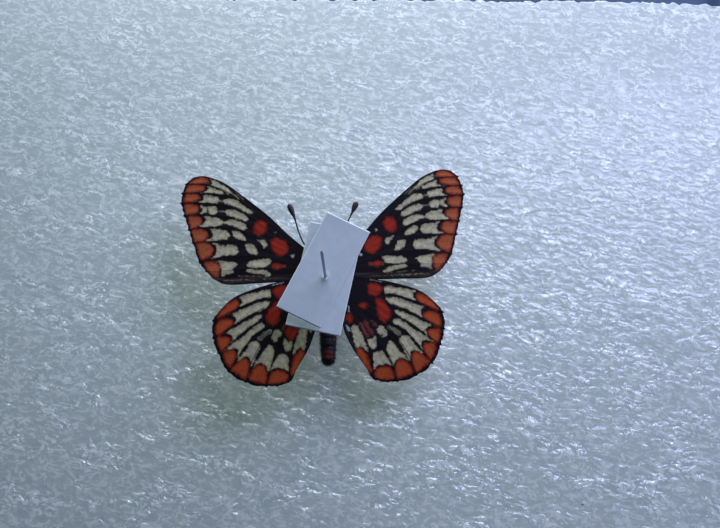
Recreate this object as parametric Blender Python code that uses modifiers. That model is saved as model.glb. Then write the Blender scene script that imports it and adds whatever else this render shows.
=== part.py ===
"""A small open insect drawer: a tray of five boards lined with foam, with one butterfly pinned in it.

The butterfly is set underside up.  The head of its pin is buried in the foam and the point stands
up through the thorax and through two blank data labels.

Metres, +Z up.  +X runs along the drawer's front and the knob points to -Y.  The origin is on the
surface that the drawer rests on, below the middle of its whole length and depth, knob included.
"""

import math

import bmesh
import bpy
from mathutils import Matrix, Vector

MM = 0.001
GAP = 0.3 * MM                     # clearance between neighbouring pieces

# The tray of boards
DRAWER_LENGTH = 230 * MM           # along X
DRAWER_DEPTH = 150 * MM            # along Y, without the knob
DRAWER_HEIGHT = 54 * MM
BOARD = 8 * MM                     # thickness of the four wall boards
RABBET = BOARD / 2                 # depth of the corner rabbets and of the panel's groove
PANEL = 4 * MM                     # thickness of the bottom panel
PANEL_RISE = 4 * MM                # height of the panel's underside
EDGE_ROUNDING = 0.7 * MM
FOAM = 12 * MM

# The knob, turned about its own axis
KNOB_REACH = 16 * MM               # how far it stands out from the front board
KNOB_RADIUS = 7.5 * MM
KNOB_BALL_HALF = 4.6 * MM          # half the flattened ball's thickness
KNOB_NECK = 3.2 * MM
KNOB_COLLAR = 5.2 * MM
KNOB_COLLAR_RISE = 1.5 * MM
KNOB_HEIGHT = 27 * MM
SPIGOT_RADIUS = 2.7 * MM
SPIGOT_LENGTH = 5 * MM

# The pin, upright, head down
PIN_LENGTH = 38 * MM
PIN_RADIUS = 0.25 * MM
PIN_TAPER = 4 * MM
PIN_HEAD_RADIUS = 0.75 * MM
PIN_BASE = 9.6 * MM                # height of the buried head's underside
PIN_HOLE = PIN_RADIUS + GAP

# The butterfly hangs on the pin by its thorax, a little turned and leaning to one side
WING_HEIGHT = 26.3 * MM
SPECIMEN_OFFSET = 0.26 * MM
SPECIMEN_HEADING = math.radians(1.4)
SPECIMEN_ROLL = math.radians(2.9)
WING_THICKNESS = 0.3 * MM
HINDWING_LIFT = 0.6 * MM           # the hindwings lie over the forewings, as seen from below the insect
LEFT_SWEEP = math.radians(4.5)     # the left wings are set further back than the right ones
FOREWING_HINGE = (3.0, 2.0)        # in millimetres, like the outlines below
HINDWING_HINGE = (3.0, -2.0)

# Wing outlines in millimetres from the pin, for a right wing: X outwards, Y towards the head
FOREWING_FRONT = [(1.7, 5.0), (4.6, 7.7), (7.4, 10.6), (10.2, 13.9), (13.0, 16.7), (15.8, 19.3),
                  (18.6, 21.7), (21.2, 23.1), (23.0, 23.6), (24.6, 23.4)]
FOREWING_VEIN_ENDS = [(25.8, 22.1), (26.6, 20.2), (26.9, 18.2), (26.4, 15.5), (25.7, 12.7),
                      (25.0, 9.9), (23.9, 6.0), (21.6, 2.4)]
FOREWING_REAR = [(20.0, 1.4), (18.0, 1.0), (14.5, 0.9), (11.0, 0.8), (7.5, 0.8), (4.4, 0.9), (1.7, 2.2)]
HINDWING_FRONT = [(1.7, 1.6), (5.0, 1.3), (8.3, 0.8), (11.0, 0.3), (13.2, -0.2), (15.4, -0.8),
                  (17.3, -1.5), (18.9, -2.5), (20.4, -3.9)]
HINDWING_VEIN_ENDS = [(21.4, -5.6), (21.6, -8.8), (20.8, -11.8), (19.2, -15.2), (16.3, -17.4),
                      (12.6, -18.5), (8.5, -18.1)]
HINDWING_REAR = [(7.1, -16.4), (6.0, -14.8), (4.8, -13.1), (3.8, -11.2), (2.9, -9.0), (2.4, -6.0),
                 (1.7, -2.2)]
FOREWING_SCALLOP = 0.15            # how far the margin bulges between two vein ends
HINDWING_SCALLOP = 0.3

# Body forms in millimetres: centre and half sizes, in the specimen's own axes
THORAX = ((0.0, 1.6, 1.0), (2.45, 4.5, 2.35))
HEAD = ((0.0, 6.9, 0.9), (1.55, 1.35, 1.4))
EYE = ((1.25, 7.2, 0.9), (0.75, 0.85, 0.95))
PALP = ((0.45, 8.3, 1.5), (0.35, 1.1, 0.45))
WING_SOCKET_SIDE = (1.4, 5.0)       # the slots in the thorax that take the wing roots: along X
FOREWING_SOCKET = (1.9, 5.3)       # along Y
HINDWING_SOCKET = (-2.5, 1.9)
ABDOMEN_START = -1.2
ABDOMEN_RADII = [0.9, 1.35, 1.55, 1.62, 1.66, 1.64, 1.56, 1.45, 1.25]
ABDOMEN_SEGMENT = 1.6              # length of one of the rings
ABDOMEN_GROOVE = 0.12              # depth of the groove between two rings
ABDOMEN_LIFT = 0.3
LEG_RADIUS = 0.24
LEGS = [                           # right side, from the thorax out over the knee to the foot
    [(1.0, 4.4, 2.6), (2.3, 5.6, 2.7), (1.5, 6.9, 2.5)],
    [(1.2, 2.6, 2.7), (3.3, 3.9, 3.0), (3.0, 0.2, 3.1), (2.5, -2.6, 2.6)],
    [(1.2, 0.8, 2.7), (2.9, 1.0, 3.1), (1.9, -3.4, 2.7), (1.5, -6.3, 2.2)],
]
ANTENNA_RADIUS = 0.16
CLUB_SWELLING = [1.3, 2.0, 2.8, 3.1, 2.2]     # thickness of the last points over the shaft's
LEFT_ANTENNA = [(-0.6, 7.3, 0.5), (-2.0, 6.9, 0.4), (-3.3, 7.0, 0.3), (-4.2, 7.5, 0.3), (-4.9, 8.6, 0.3),
                (-5.7, 10.7, 0.3), (-6.3, 12.9, 0.3), (-6.7, 13.9, 0.3), (-7.0, 14.7, 0.3),
                (-7.3, 15.4, 0.3), (-7.5, 15.9, 0.3)]
RIGHT_ANTENNA = [(0.6, 7.3, 0.5), (1.5, 8.3, 0.4), (2.6, 9.9, 0.3), (3.5, 11.4, 0.3), (4.1, 12.6, 0.3),
                 (4.6, 13.7, 0.3), (4.9, 14.5, 0.3), (5.3, 15.3, 0.3), (5.6, 15.9, 0.3), (5.8, 16.4, 0.3)]

# The labels: length, width, height above the ground, bearing of the long side, centre from the pin
CARD = 0.25 * MM
UPPER_LABEL = (20.4 * MM, 9.0 * MM, 31.5 * MM, math.radians(64.0), (-0.3 * MM, 1.4 * MM))
LOWER_LABEL = (20.4 * MM, 10.2 * MM, 30.4 * MM, math.radians(78.5), (-0.1 * MM, 0.0))

# Places that follow from the sizes above
FRONT_Y = -(DRAWER_DEPTH - KNOB_REACH) / 2         # outer face of the front board
BACK_Y = FRONT_Y + DRAWER_DEPTH
SIDE_X = DRAWER_LENGTH / 2
MIDDLE_Y = (FRONT_Y + BACK_Y) / 2
PANEL_TOP = PANEL_RISE + PANEL
FOAM_BASE = PANEL_TOP + GAP
FOAM_TOP = FOAM_BASE + FOAM
PIN_TOP = PIN_BASE + PIN_LENGTH
PIN_PLACE = Vector((0, MIDDLE_Y, 0))


def clear_scene():
    for item in list(bpy.data.objects):
        bpy.data.objects.remove(item, do_unlink=True)


def new_collection(name):
    group = bpy.data.collections.new(name)
    bpy.context.scene.collection.children.link(group)
    return group


def finish(name, colour, roughness, metallic=0.0):
    """A plain Principled material."""
    material = bpy.data.materials.new(name)
    material.use_nodes = True
    shader = material.node_tree.nodes["Principled BSDF"]
    shader.inputs["Base Color"].default_value = (*colour, 1)
    shader.inputs["Roughness"].default_value = roughness
    shader.inputs["Metallic"].default_value = metallic
    material.diffuse_color = (*colour, 1)
    return material


def add_mesh(name, shape, collection, material=None):
    """Puts a bmesh into a new object of the collection."""
    mesh = bpy.data.meshes.new(name)
    shape.to_mesh(mesh)
    shape.free()
    item = bpy.data.objects.new(name, mesh)
    collection.objects.link(item)
    if material:
        mesh.materials.append(material)
    else:
        as_tool(item)
    return item


def as_tool(item):
    """Marks an object that only cuts or joins another one."""
    item.hide_render = True
    item.display_type = "WIRE"


def block(name, low, high, collection, material=None):
    """A box between two corners."""
    low, high = Vector(low), Vector(high)
    shape = bmesh.new()
    bmesh.ops.create_cube(shape, size=1)
    bmesh.ops.scale(shape, vec=high - low, verts=shape.verts)
    bmesh.ops.translate(shape, vec=(low + high) / 2, verts=shape.verts)
    return add_mesh(name, shape, collection, material)


def rod(name, place, low, high, radius, collection, sides=16):
    """An upright cylinder, used as a drill."""
    shape = bmesh.new()
    bmesh.ops.create_cone(shape, cap_ends=True, segments=sides, radius1=radius, radius2=radius,
                          depth=high - low)
    bmesh.ops.translate(shape, vec=(place.x, place.y, (low + high) / 2), verts=shape.verts)
    return add_mesh(name, shape, collection)


def ellipsoid(name, form, collection, material=None, rings=10):
    """A ball drawn out to the half sizes of a form given in millimetres."""
    centre, half = form
    shape = bmesh.new()
    bmesh.ops.create_uvsphere(shape, u_segments=rings * 2, v_segments=rings, radius=1)
    bmesh.ops.scale(shape, vec=Vector(half) * MM, verts=shape.verts)
    bmesh.ops.translate(shape, vec=Vector(centre) * MM, verts=shape.verts)
    for face in shape.faces:
        face.smooth = True
    return add_mesh(name, shape, collection, material)


def combine(item, tool, operation):
    step = item.modifiers.new(f"{operation.lower()} {tool.name}", "BOOLEAN")
    step.operation = operation
    step.solver = "EXACT"
    step.object = tool


def cut(item, tool):
    combine(item, tool, "DIFFERENCE")


def round_edges(item, width=EDGE_ROUNDING):
    bevel = item.modifiers.new("rounded edges", "BEVEL")
    bevel.width = width
    bevel.segments = 2
    bevel.limit_method = "ANGLE"


def turned(name, profile, collection, material, steps):
    """Turns a profile of (radius, height) points, listed top to bottom, about Z."""
    shape = bmesh.new()
    points = [shape.verts.new((radius, 0, height)) for radius, height in profile]
    for upper, lower in zip(points, points[1:]):
        shape.edges.new((upper, lower))
    item = add_mesh(name, shape, collection, material)
    screw = item.modifiers.new("turned", "SCREW")
    screw.steps = steps
    screw.render_steps = steps
    screw.use_merge_vertices = True
    screw.merge_threshold = 0.00001
    screw.use_smooth_shade = True
    return item


def tube(name, route, radius, collection, swelling=()):
    """A capped round tube along points in millimetres; its last few points may swell into a club."""
    curve = bpy.data.curves.new(name, "CURVE")
    curve.dimensions = "3D"
    curve.bevel_depth = radius * MM
    curve.bevel_resolution = 2
    curve.use_fill_caps = True
    line = curve.splines.new("POLY")
    line.points.add(len(route) - 1)
    thickness = [1.0] * (len(route) - len(swelling)) + list(swelling)
    for point, place, factor in zip(line.points, route, thickness):
        point.co = (*(Vector(place) * MM), 1)
        point.radius = factor
    line.use_smooth = True
    return as_mesh(name, curve, collection)


def as_mesh(name, curve, collection):
    """Makes a curve a closed mesh, so that a Boolean can use it."""
    guide = bpy.data.objects.new(f"{name} guide", curve)
    collection.objects.link(guide)
    bpy.context.view_layer.update()
    evaluated = guide.evaluated_get(bpy.context.evaluated_depsgraph_get())
    mesh = bpy.data.meshes.new_from_object(evaluated)
    shape = bmesh.new()
    shape.from_mesh(mesh)
    bmesh.ops.remove_doubles(shape, verts=shape.verts, dist=0.00001)
    bpy.data.objects.remove(guide)
    return add_mesh(name, shape, collection)


def scalloped(ends, bulge):
    """The margin through the vein ends, with a point pushed outwards between each two of them."""
    margin = [ends[0]]
    for here, there in zip(ends, ends[1:]):
        middle = (Vector(here) + Vector(there)) / 2
        along = (Vector(there) - Vector(here)).normalized()
        margin += [tuple(middle + Vector((-along.y, along.x)) * bulge), there]
    return margin


def wall_boards(parts, tools, wood):
    """Front, back and two sides, rabbeted at the corners and grooved for the bottom panel."""
    groove_low = PANEL_RISE - GAP
    groove_high = PANEL_TOP + GAP
    for name, outer, inward in (("front_board", FRONT_Y, 1), ("back_board", BACK_Y, -1)):
        inner = outer + inward * BOARD
        middle = outer + inward * (BOARD - RABBET)
        low_y, high_y = sorted((outer, inner))
        board = block(name, (-SIDE_X, low_y, 0), (SIDE_X, high_y, DRAWER_HEIGHT), parts, wood)
        round_edges(board)
        beyond = inner + inward * BOARD
        cut_low, cut_high = sorted((middle, beyond))
        groove = block(f"{name} groove", (-2 * SIDE_X, cut_low, groove_low),
                       (2 * SIDE_X, cut_high, groove_high), tools)
        cut(board, groove)
        for side in (-1, 1):
            near, far = sorted((side * (SIDE_X - BOARD - GAP), side * 2 * SIDE_X))
            corner = block(f"{name} rabbet {side}", (near, cut_low, -BOARD),
                           (far, cut_high, 2 * DRAWER_HEIGHT), tools)
            cut(board, corner)
    for name, side in (("left_side", -1), ("right_side", 1)):
        near, far = sorted((side * (SIDE_X - BOARD), side * SIDE_X))
        start = FRONT_Y + BOARD - RABBET + GAP
        end = BACK_Y - BOARD + RABBET - GAP
        board = block(name, (near, start, 0), (far, end, DRAWER_HEIGHT), parts, wood)
        round_edges(board)
        near, far = sorted((side * (SIDE_X - BOARD - BOARD), side * (SIDE_X - BOARD + RABBET)))
        groove = block(f"{name} groove", (near, 2 * FRONT_Y, groove_low),
                       (far, 2 * BACK_Y, groove_high), tools)
        cut(board, groove)


def bottom_panel(parts, tools, ply):
    reach = SIDE_X - BOARD + RABBET - GAP
    start = FRONT_Y + BOARD - RABBET + GAP
    end = BACK_Y - BOARD + RABBET - GAP
    block("bottom_panel", (-reach, start, PANEL_RISE), (reach, end, PANEL_TOP), parts, ply)


def foam_liner(parts, tools, white):
    """A slab of foam that fills the tray, with a pocket that holds the pin's shaft and buried head."""
    reach = SIDE_X - BOARD - GAP
    start = FRONT_Y + BOARD + GAP
    end = BACK_Y - BOARD - GAP
    foam = block("foam_liner", (-reach, start, FOAM_BASE), (reach, end, FOAM_TOP), parts, white)
    shaft = rod("foam shaft hole", PIN_PLACE, PIN_BASE, FOAM_TOP + FOAM, PIN_HOLE, tools)
    head = rod("foam head pocket", PIN_PLACE, PIN_BASE - GAP, PIN_BASE + 2 * PIN_HEAD_RADIUS + GAP,
               PIN_HEAD_RADIUS + GAP, tools)
    cut(foam, head)
    cut(foam, shaft)


def front_knob(parts, tools, brass):
    """A turned knob whose spigot sits in a blind hole of the front board."""
    ball_height = KNOB_REACH - KNOB_BALL_HALF
    profile = [(0, KNOB_REACH)]
    for step in range(1, 11):
        angle = math.radians(step * 15)
        profile.append((KNOB_RADIUS * math.sin(angle), ball_height + KNOB_BALL_HALF * math.cos(angle)))
    profile += [(KNOB_NECK, ball_height - 1.15 * KNOB_BALL_HALF), (KNOB_NECK, 2.2 * KNOB_COLLAR_RISE),
                (KNOB_COLLAR - KNOB_NECK / 5, 1.3 * KNOB_COLLAR_RISE), (KNOB_COLLAR, KNOB_COLLAR_RISE),
                (KNOB_COLLAR, GAP), (SPIGOT_RADIUS, GAP), (SPIGOT_RADIUS, -SPIGOT_LENGTH),
                (0, -SPIGOT_LENGTH)]
    knob = turned("front_knob", profile, parts, brass, steps=28)
    outwards = Matrix.Translation((0, FRONT_Y, KNOB_HEIGHT)) @ Matrix.Rotation(math.radians(90), 4, "X")
    knob.matrix_world = outwards
    socket = rod("knob socket", Vector((0, 0, 0)), -SPIGOT_LENGTH - GAP, BOARD, SPIGOT_RADIUS + GAP, tools)
    socket.matrix_world = outwards
    cut(parts.objects["front_board"], socket)


def insect_pin(parts, tools, steel):
    """The pin, point up, with a small flattened ball for a head."""
    head_top = 2 * PIN_HEAD_RADIUS
    profile = [(0, PIN_LENGTH), (PIN_RADIUS * 0.55, PIN_LENGTH - PIN_TAPER * 0.4),
               (PIN_RADIUS, PIN_LENGTH - PIN_TAPER), (PIN_RADIUS, head_top)]
    for step in range(1, 8):
        angle = math.radians(20 + 160 * step / 8)
        profile.append((PIN_HEAD_RADIUS * math.sin(angle), PIN_HEAD_RADIUS * (1 + math.cos(angle))))
    profile.append((0, 0))
    pin = turned("insect_pin", profile, parts, steel, steps=12)
    pin.location = PIN_PLACE + Vector((0, 0, PIN_BASE))


def specimen_axes():
    """An empty that carries the butterfly: on the pin, turned and leaning as it was set."""
    carrier = bpy.data.objects.new("specimen", None)
    bpy.context.scene.collection.objects.link(carrier)
    carrier.location = (SPECIMEN_OFFSET, PIN_PLACE.y, WING_HEIGHT)
    carrier.rotation_euler = (0, SPECIMEN_ROLL, SPECIMEN_HEADING)
    return carrier


def wing(name, outline, hinge, side, height, carrier, parts, scales):
    """A flat wing plate, drawn about its hinge and mirrored for the left side."""
    curve = bpy.data.curves.new(name, "CURVE")
    curve.dimensions = "2D"
    curve.fill_mode = "BOTH"
    curve.extrude = WING_THICKNESS / 2
    line = curve.splines.new("POLY")
    line.points.add(len(outline) - 1)
    for point, (x, y) in zip(line.points, outline):
        point.co = (side * (x - hinge[0]) * MM, (y - hinge[1]) * MM, 0, 1)
    line.use_cyclic_u = True
    curve.materials.append(scales)
    item = bpy.data.objects.new(name, curve)
    parts.objects.link(item)
    item.parent = carrier
    item.location = (side * hinge[0] * MM, hinge[1] * MM, height)
    item.rotation_euler = (0, 0, LEFT_SWEEP if side < 0 else 0)
    return item


def wings(carrier, parts, scales):
    forewing = FOREWING_FRONT + scalloped(FOREWING_VEIN_ENDS, FOREWING_SCALLOP) + FOREWING_REAR
    hindwing = HINDWING_FRONT + scalloped(HINDWING_VEIN_ENDS, HINDWING_SCALLOP) + HINDWING_REAR
    for word, side in (("left", -1), ("right", 1)):
        wing(f"{word}_forewing", forewing, FOREWING_HINGE, side, 0, carrier, parts, scales)
        wing(f"{word}_hindwing", hindwing, HINDWING_HINGE, side, HINDWING_LIFT, carrier, parts, scales)


def abdomen_form(tools):
    """The ringed abdomen, turned about the body's length and laid along it."""
    profile = [(0, 0)]
    for index, radius in enumerate(ABDOMEN_RADII):
        start = index * ABDOMEN_SEGMENT
        profile += [(radius - ABDOMEN_GROOVE, -start - 0.1 * ABDOMEN_SEGMENT),
                    (radius, -start - 0.4 * ABDOMEN_SEGMENT),
                    (radius, -start - 0.75 * ABDOMEN_SEGMENT)]
    profile.append((0, -len(ABDOMEN_RADII) * ABDOMEN_SEGMENT))
    scaled = [(radius * MM, height * MM) for radius, height in profile]
    form = turned("abdomen form", scaled, tools, None, steps=18)
    form.rotation_euler = (math.radians(-90), 0, 0)
    form.location = (0, ABDOMEN_START * MM, ABDOMEN_LIFT * MM)
    return form


def mirrored(form, side):
    (x, y, z), half = form
    return (side * x, y, z), half


def butterfly_body(carrier, parts, tools, chitin):
    """Thorax, head, abdomen, legs and antennae, joined in one solid and pierced by the pin."""
    body = ellipsoid("butterfly_body", THORAX, parts, chitin, rings=12)
    forms = [ellipsoid("head form", HEAD, tools), abdomen_form(tools)]
    for side in (-1, 1):
        forms.append(ellipsoid(f"eye form {side}", mirrored(EYE, side), tools, rings=7))
        forms.append(ellipsoid(f"palp form {side}", mirrored(PALP, side), tools, rings=5))
        for number, leg in enumerate(LEGS):
            route = [(side * x, y, z) for x, y, z in leg]
            forms.append(tube(f"leg form {number} {side}", route, LEG_RADIUS, tools))
    for number, route in enumerate((LEFT_ANTENNA, RIGHT_ANTENNA)):
        forms.append(tube(f"antenna form {number}", route, ANTENNA_RADIUS, tools, CLUB_SWELLING))
    body.parent = carrier
    for form in forms:
        form.parent = carrier
        combine(body, form, "UNION")
    half = WING_THICKNESS / 2 + GAP
    for side in (-1, 1):
        near, far = sorted(side * reach * MM for reach in WING_SOCKET_SIDE)
        for word, (start, end), height in (("fore", FOREWING_SOCKET, 0),
                                           ("hind", HINDWING_SOCKET, HINDWING_LIFT)):
            socket = block(f"{word}wing socket {side}", (near, start * MM, height - half),
                           (far, end * MM, height + half), tools)
            socket.parent = carrier
            cut(body, socket)
    cut(body, rod("thorax pin hole", PIN_PLACE, 0, PIN_TOP, PIN_HOLE, tools))


def label(name, layout, parts, tools, card):
    """A blank card on the pin, with its long side on the given bearing."""
    length, width, height, bearing, offset = layout
    low = Vector((-length / 2, -width / 2, -CARD / 2))
    item = block(name, low, -low, parts, card)
    item.location = PIN_PLACE + Vector((*offset, height))
    item.rotation_euler = (0, 0, bearing)
    cut(item, rod(f"{name} hole", PIN_PLACE, 0, PIN_TOP, PIN_HOLE, tools, sides=12))


def main():
    clear_scene()
    parts = new_collection("insect_drawer")
    tools = new_collection("cutters")
    wood = finish("navy lacquered wood", (0.022, 0.045, 0.13), 0.45)
    ply = finish("bottom plywood", (0.52, 0.36, 0.20), 0.6)
    white = finish("white foam", (0.78, 0.82, 0.86), 0.4)
    brass = finish("turned brass", (0.60, 0.42, 0.16), 0.3, metallic=1.0)
    steel = finish("pin steel", (0.35, 0.35, 0.37), 0.3, metallic=1.0)
    scales = finish("wing scales", (0.20, 0.06, 0.02), 0.8)
    chitin = finish("dark hairy body", (0.03, 0.018, 0.015), 0.8)
    card = finish("white card", (0.80, 0.80, 0.82), 0.85)
    wall_boards(parts, tools, wood)
    bottom_panel(parts, tools, ply)
    foam_liner(parts, tools, white)
    front_knob(parts, tools, brass)
    insect_pin(parts, tools, steel)
    carrier = specimen_axes()
    wings(carrier, parts, scales)
    butterfly_body(carrier, parts, tools, chitin)
    label("lower_label", LOWER_LABEL, parts, tools, card)
    label("upper_label", UPPER_LABEL, parts, tools, card)


main()
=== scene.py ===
"""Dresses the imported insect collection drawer: foam, pinned butterfly, labels, wood and brass."""

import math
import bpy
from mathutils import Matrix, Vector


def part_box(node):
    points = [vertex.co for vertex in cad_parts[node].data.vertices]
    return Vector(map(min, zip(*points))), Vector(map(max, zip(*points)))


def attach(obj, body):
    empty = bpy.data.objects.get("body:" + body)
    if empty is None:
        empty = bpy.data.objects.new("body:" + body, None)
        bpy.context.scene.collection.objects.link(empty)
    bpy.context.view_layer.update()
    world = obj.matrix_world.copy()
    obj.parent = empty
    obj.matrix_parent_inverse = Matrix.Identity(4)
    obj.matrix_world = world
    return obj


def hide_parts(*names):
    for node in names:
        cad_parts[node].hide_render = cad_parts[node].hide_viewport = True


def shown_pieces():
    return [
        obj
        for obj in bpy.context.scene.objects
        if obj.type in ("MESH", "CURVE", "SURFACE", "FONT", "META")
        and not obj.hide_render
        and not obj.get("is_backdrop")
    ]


bl_info = {
    "name": "Insect collection drawer",
    "version": (1, 0, 0),
    "blender": (4, 5, 0),
    "location": "3D View > Sidebar > Insect drawer",
    "description": "Models and finishes a foam lined drawer that holds one pinned butterfly",
    "category": "Object",
}

import bmesh
import bpy
import numpy as np
from bpy.props import FloatProperty, FloatVectorProperty, IntProperty, PointerProperty
from mathutils import Matrix, Vector, noise

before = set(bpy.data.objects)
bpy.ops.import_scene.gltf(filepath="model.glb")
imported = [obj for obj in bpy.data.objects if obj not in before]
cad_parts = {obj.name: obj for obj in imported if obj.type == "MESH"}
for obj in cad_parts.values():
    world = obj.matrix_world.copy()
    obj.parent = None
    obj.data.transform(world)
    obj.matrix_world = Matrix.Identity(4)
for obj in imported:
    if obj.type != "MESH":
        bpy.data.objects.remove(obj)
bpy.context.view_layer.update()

MM = 0.001
SPECIMEN_PLACE = Vector((0.26, 8.0, 26.3))
SPECIMEN_HEADING = math.radians(1.4)
SPECIMEN_ROLL = math.radians(2.9)
SPECIMEN = (Matrix.Translation(SPECIMEN_PLACE) @ Matrix.Rotation(SPECIMEN_HEADING, 4, "Z")
            @ Matrix.Rotation(SPECIMEN_ROLL, 4, "Y"))


# --- shader values -----------------------------------------------------------------------------

class Wire:
    """An output socket of a material's nodes, used in Python expressions like a number."""

    def __init__(self, tree, socket=None):
        self.tree = tree
        self.socket = socket

    def plug(self, target, value):
        """Links a wire to an input socket, or sets the socket to a plain value."""
        if isinstance(value, Wire):
            self.tree.links.new(value.socket, target)
        else:
            target.default_value = value

    def feed(self, target, **sockets):
        """Plugs values or wires into a node's inputs, whose names have _ for a space."""
        for name, value in sockets.items():
            self.plug(target.inputs[name.replace("_", " ")], value)

    def node(self, kind, settings=None, values=None, out=0):
        """Adds a node: its settings first, then the values or links of its inputs."""
        made = self.tree.nodes.new(kind)
        for name, value in (settings or {}).items():
            setattr(made, name, value)
        for name, value in (values or {}).items():
            self.plug(made.inputs[name], value)
        return Wire(self.tree, made.outputs[out])

    def math(self, operation, *values):
        return self.node("ShaderNodeMath", {"operation": operation}, dict(enumerate(values)))

    def __add__(self, other):
        return self.math("ADD", self, other)

    def __sub__(self, other):
        return self.math("SUBTRACT", self, other)

    def __rsub__(self, other):
        return self.math("SUBTRACT", other, self)

    def __mul__(self, other):
        return self.math("MULTIPLY", self, other)

    def __neg__(self):
        return self.math("MULTIPLY", self, -1.0)

    __radd__ = __add__
    __rmul__ = __mul__

    def step(self, low, high):
        """0 below low, 1 above high and smooth between."""
        return self.node("ShaderNodeMapRange", {"interpolation_type": "SMOOTHSTEP"},
                         {"Value": self, "From Min": low, "From Max": high})

    def least(self, other):
        return self.math("MINIMUM", self, other)

    def most(self, other):
        return self.math("MAXIMUM", self, other)

    def size(self):
        return self.math("ABSOLUTE", self)

    def blend(self, low, high):
        """A colour between two others, by this wire."""
        low, high = (c if isinstance(c, Wire) else (*c, 1) for c in (low, high))
        return self.node("ShaderNodeMix", {"data_type": "RGBA", "clamp_factor": True},
                         {0: self, 6: low, 7: high}, out=2)

    def scaled(self, factors):
        """This vector, each part times its own factor."""
        return self.node("ShaderNodeVectorMath", {"operation": "MULTIPLY"},
                         {0: self, 1: factors})

    def moved(self, other):
        """This vector plus another one."""
        return self.node("ShaderNodeVectorMath", {"operation": "ADD"}, {0: self, 1: other})

    def drawn(self, angle, lengths):
        """This place turned about Z, then each part divided by its own length."""
        return self.node("ShaderNodeMapping", {"vector_type": "TEXTURE"},
                         {"Vector": self, "Rotation": (0, 0, angle), "Scale": lengths})

    def noise(self, scale, detail=2.0, roughness=0.5, distortion=0.0, out=0):
        """Noise read at this point: out 0 is a value, 1 a colour."""
        return self.node("ShaderNodeTexNoise", {"noise_dimensions": "3D"},
                         {"Vector": self, "Scale": scale, "Detail": detail,
                          "Roughness": roughness, "Distortion": distortion}, out=out)

    def cells(self, scale, feature="F1", randomness=1.0):
        """The distance that a cell pattern has at this point."""
        return self.node("ShaderNodeTexVoronoi", {"feature": feature},
                         {"Vector": self, "Scale": scale, "Randomness": randomness})

    def bump(self, strength, distance):
        """A normal that follows this height, whose unit is the distance in metres."""
        return self.node("ShaderNodeBump", None,
                         {"Strength": strength, "Distance": distance, "Height": self})

    def part(self, index):
        """One coordinate of this vector."""
        return self.node("ShaderNodeSeparateXYZ", None, {0: self}, out=index)


def toned(colour, *factors):
    """A colour times one factor, or each of its parts times its own."""
    return tuple(c * f for c, f in zip(colour, factors * 3))


def finish(name, **sockets):
    """A material, its wires and its Principled shader with some sockets set by their names."""
    material = bpy.data.materials.new(name)
    material.use_nodes = True
    wires = Wire(material.node_tree)
    shader = material.node_tree.nodes["Principled BSDF"]
    wires.feed(shader, **sockets)
    return material, wires, shader


def place_in_mm(wires):
    """The point's place on the piece, in millimetres."""
    return wires.node("ShaderNodeTexCoord", out="Object").scaled((1 / MM,) * 3)


def attribute(wires, name):
    """A number that the mesh carries at its points."""
    return wires.node("ShaderNodeAttribute", {"attribute_name": name}, out="Fac")


# --- meshes ------------------------------------------------------------------------------------

def add_piece(name, shape, materials, slot, *nodes, carrier=None):
    """Makes a bmesh drawn in millimetres a finished piece that stands for CAD nodes."""
    if carrier is not None:
        bmesh.ops.transform(shape, matrix=carrier, verts=shape.verts)
    bmesh.ops.scale(shape, vec=Vector((MM, MM, MM)), verts=shape.verts)
    for face in shape.faces:
        face.smooth = True
    mesh = bpy.data.meshes.new(name)
    shape.to_mesh(mesh)
    shape.free()
    for material in materials:
        mesh.materials.append(material)
    piece = bpy.data.objects.new(name, mesh)
    bpy.context.scene.collection.objects.link(piece)
    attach(piece, "root")
    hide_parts(*nodes)
    return piece


def dress(name, material):
    """Gives a CAD node a finished material."""
    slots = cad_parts[name].data.materials
    slots.clear()
    slots.append(material)


# --- stage -------------------------------------------------------------------------------------

class StageSettings(bpy.types.PropertyGroup):
    key_power: FloatProperty(
        name="Key light", description="Power of the soft light behind the drawer's right corner",
        default=0.97, min=0, unit="POWER")
    through_power: FloatProperty(
        name="Light through foam", description="Power of the key's light that the foam spreads "
        "under the wings", default=0.24, min=0, unit="POWER")
    fill_power: FloatProperty(
        name="Fill light", description="Power of the low light behind the drawer",
        default=0.44, min=0, unit="POWER")
    front_strength: FloatProperty(
        name="Front light", description="Strength of the light on the boards, knob and floor",
        default=2.4, min=0)
    back_strength: FloatProperty(
        name="Back light", description="Strength of the same light from behind", default=1.4,
        min=0)
    daylight: FloatVectorProperty(
        name="Daylight", description="Colour of the key light", subtype="COLOR",
        default=(0.60, 0.625, 1.0), min=0, max=1)
    floor_colour: FloatVectorProperty(
        name="Floor", description="Colour of the plain floor", subtype="COLOR",
        default=(0.72, 0.73, 0.74), min=0, max=1)


# Places, aims and sizes in millimetres. A way points from the drawer towards a sun.
CAMERA_PLACE = Vector((6.38, -30.56, 173.71))
CAMERA_TILT = math.radians(16.08)
CAMERA_TURN = math.radians(0.43)
CAMERA_LENS = 39.95
SENSOR_WIDTH = 36.0
KEY_PLACE = Vector((160.0, 220.0, 140.0))
KEY_AIM = Vector((72.0, 76.0, 20.0))
KEY_SIZE = 260.0
FILL_PLACE = Vector((0.0, 220.0, 100.0))
FILL_AIM = Vector((0.0, 90.0, 20.0))
FILL_SIZE = 200.0
FRONT_WAY = Vector((-0.45, -0.75, 1.0))
BACK_WAY = Vector((0.6, 0.7, 1.0))
SUN_SPREAD = math.radians(50)
SKY_LIGHT = (0.84, 1.0, 0.94)
ROOM_LIGHT = (0.40, 1.0, 0.52)
ROOM_DIMNESS = 0.042
BACKDROP = (0.56, 0.58, 0.60)
FLOOR_REACH = 3000.0
WINGS = ("left_forewing_scaled", "right_forewing_scaled", "left_hindwing_scaled",
         "right_hindwing_scaled")
CARDS = ("lower_label_card", "upper_label_card")
SPECIMEN_PIECES = (*WINGS, *CARDS, "foam", "body_furred", "pin_turned")


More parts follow.
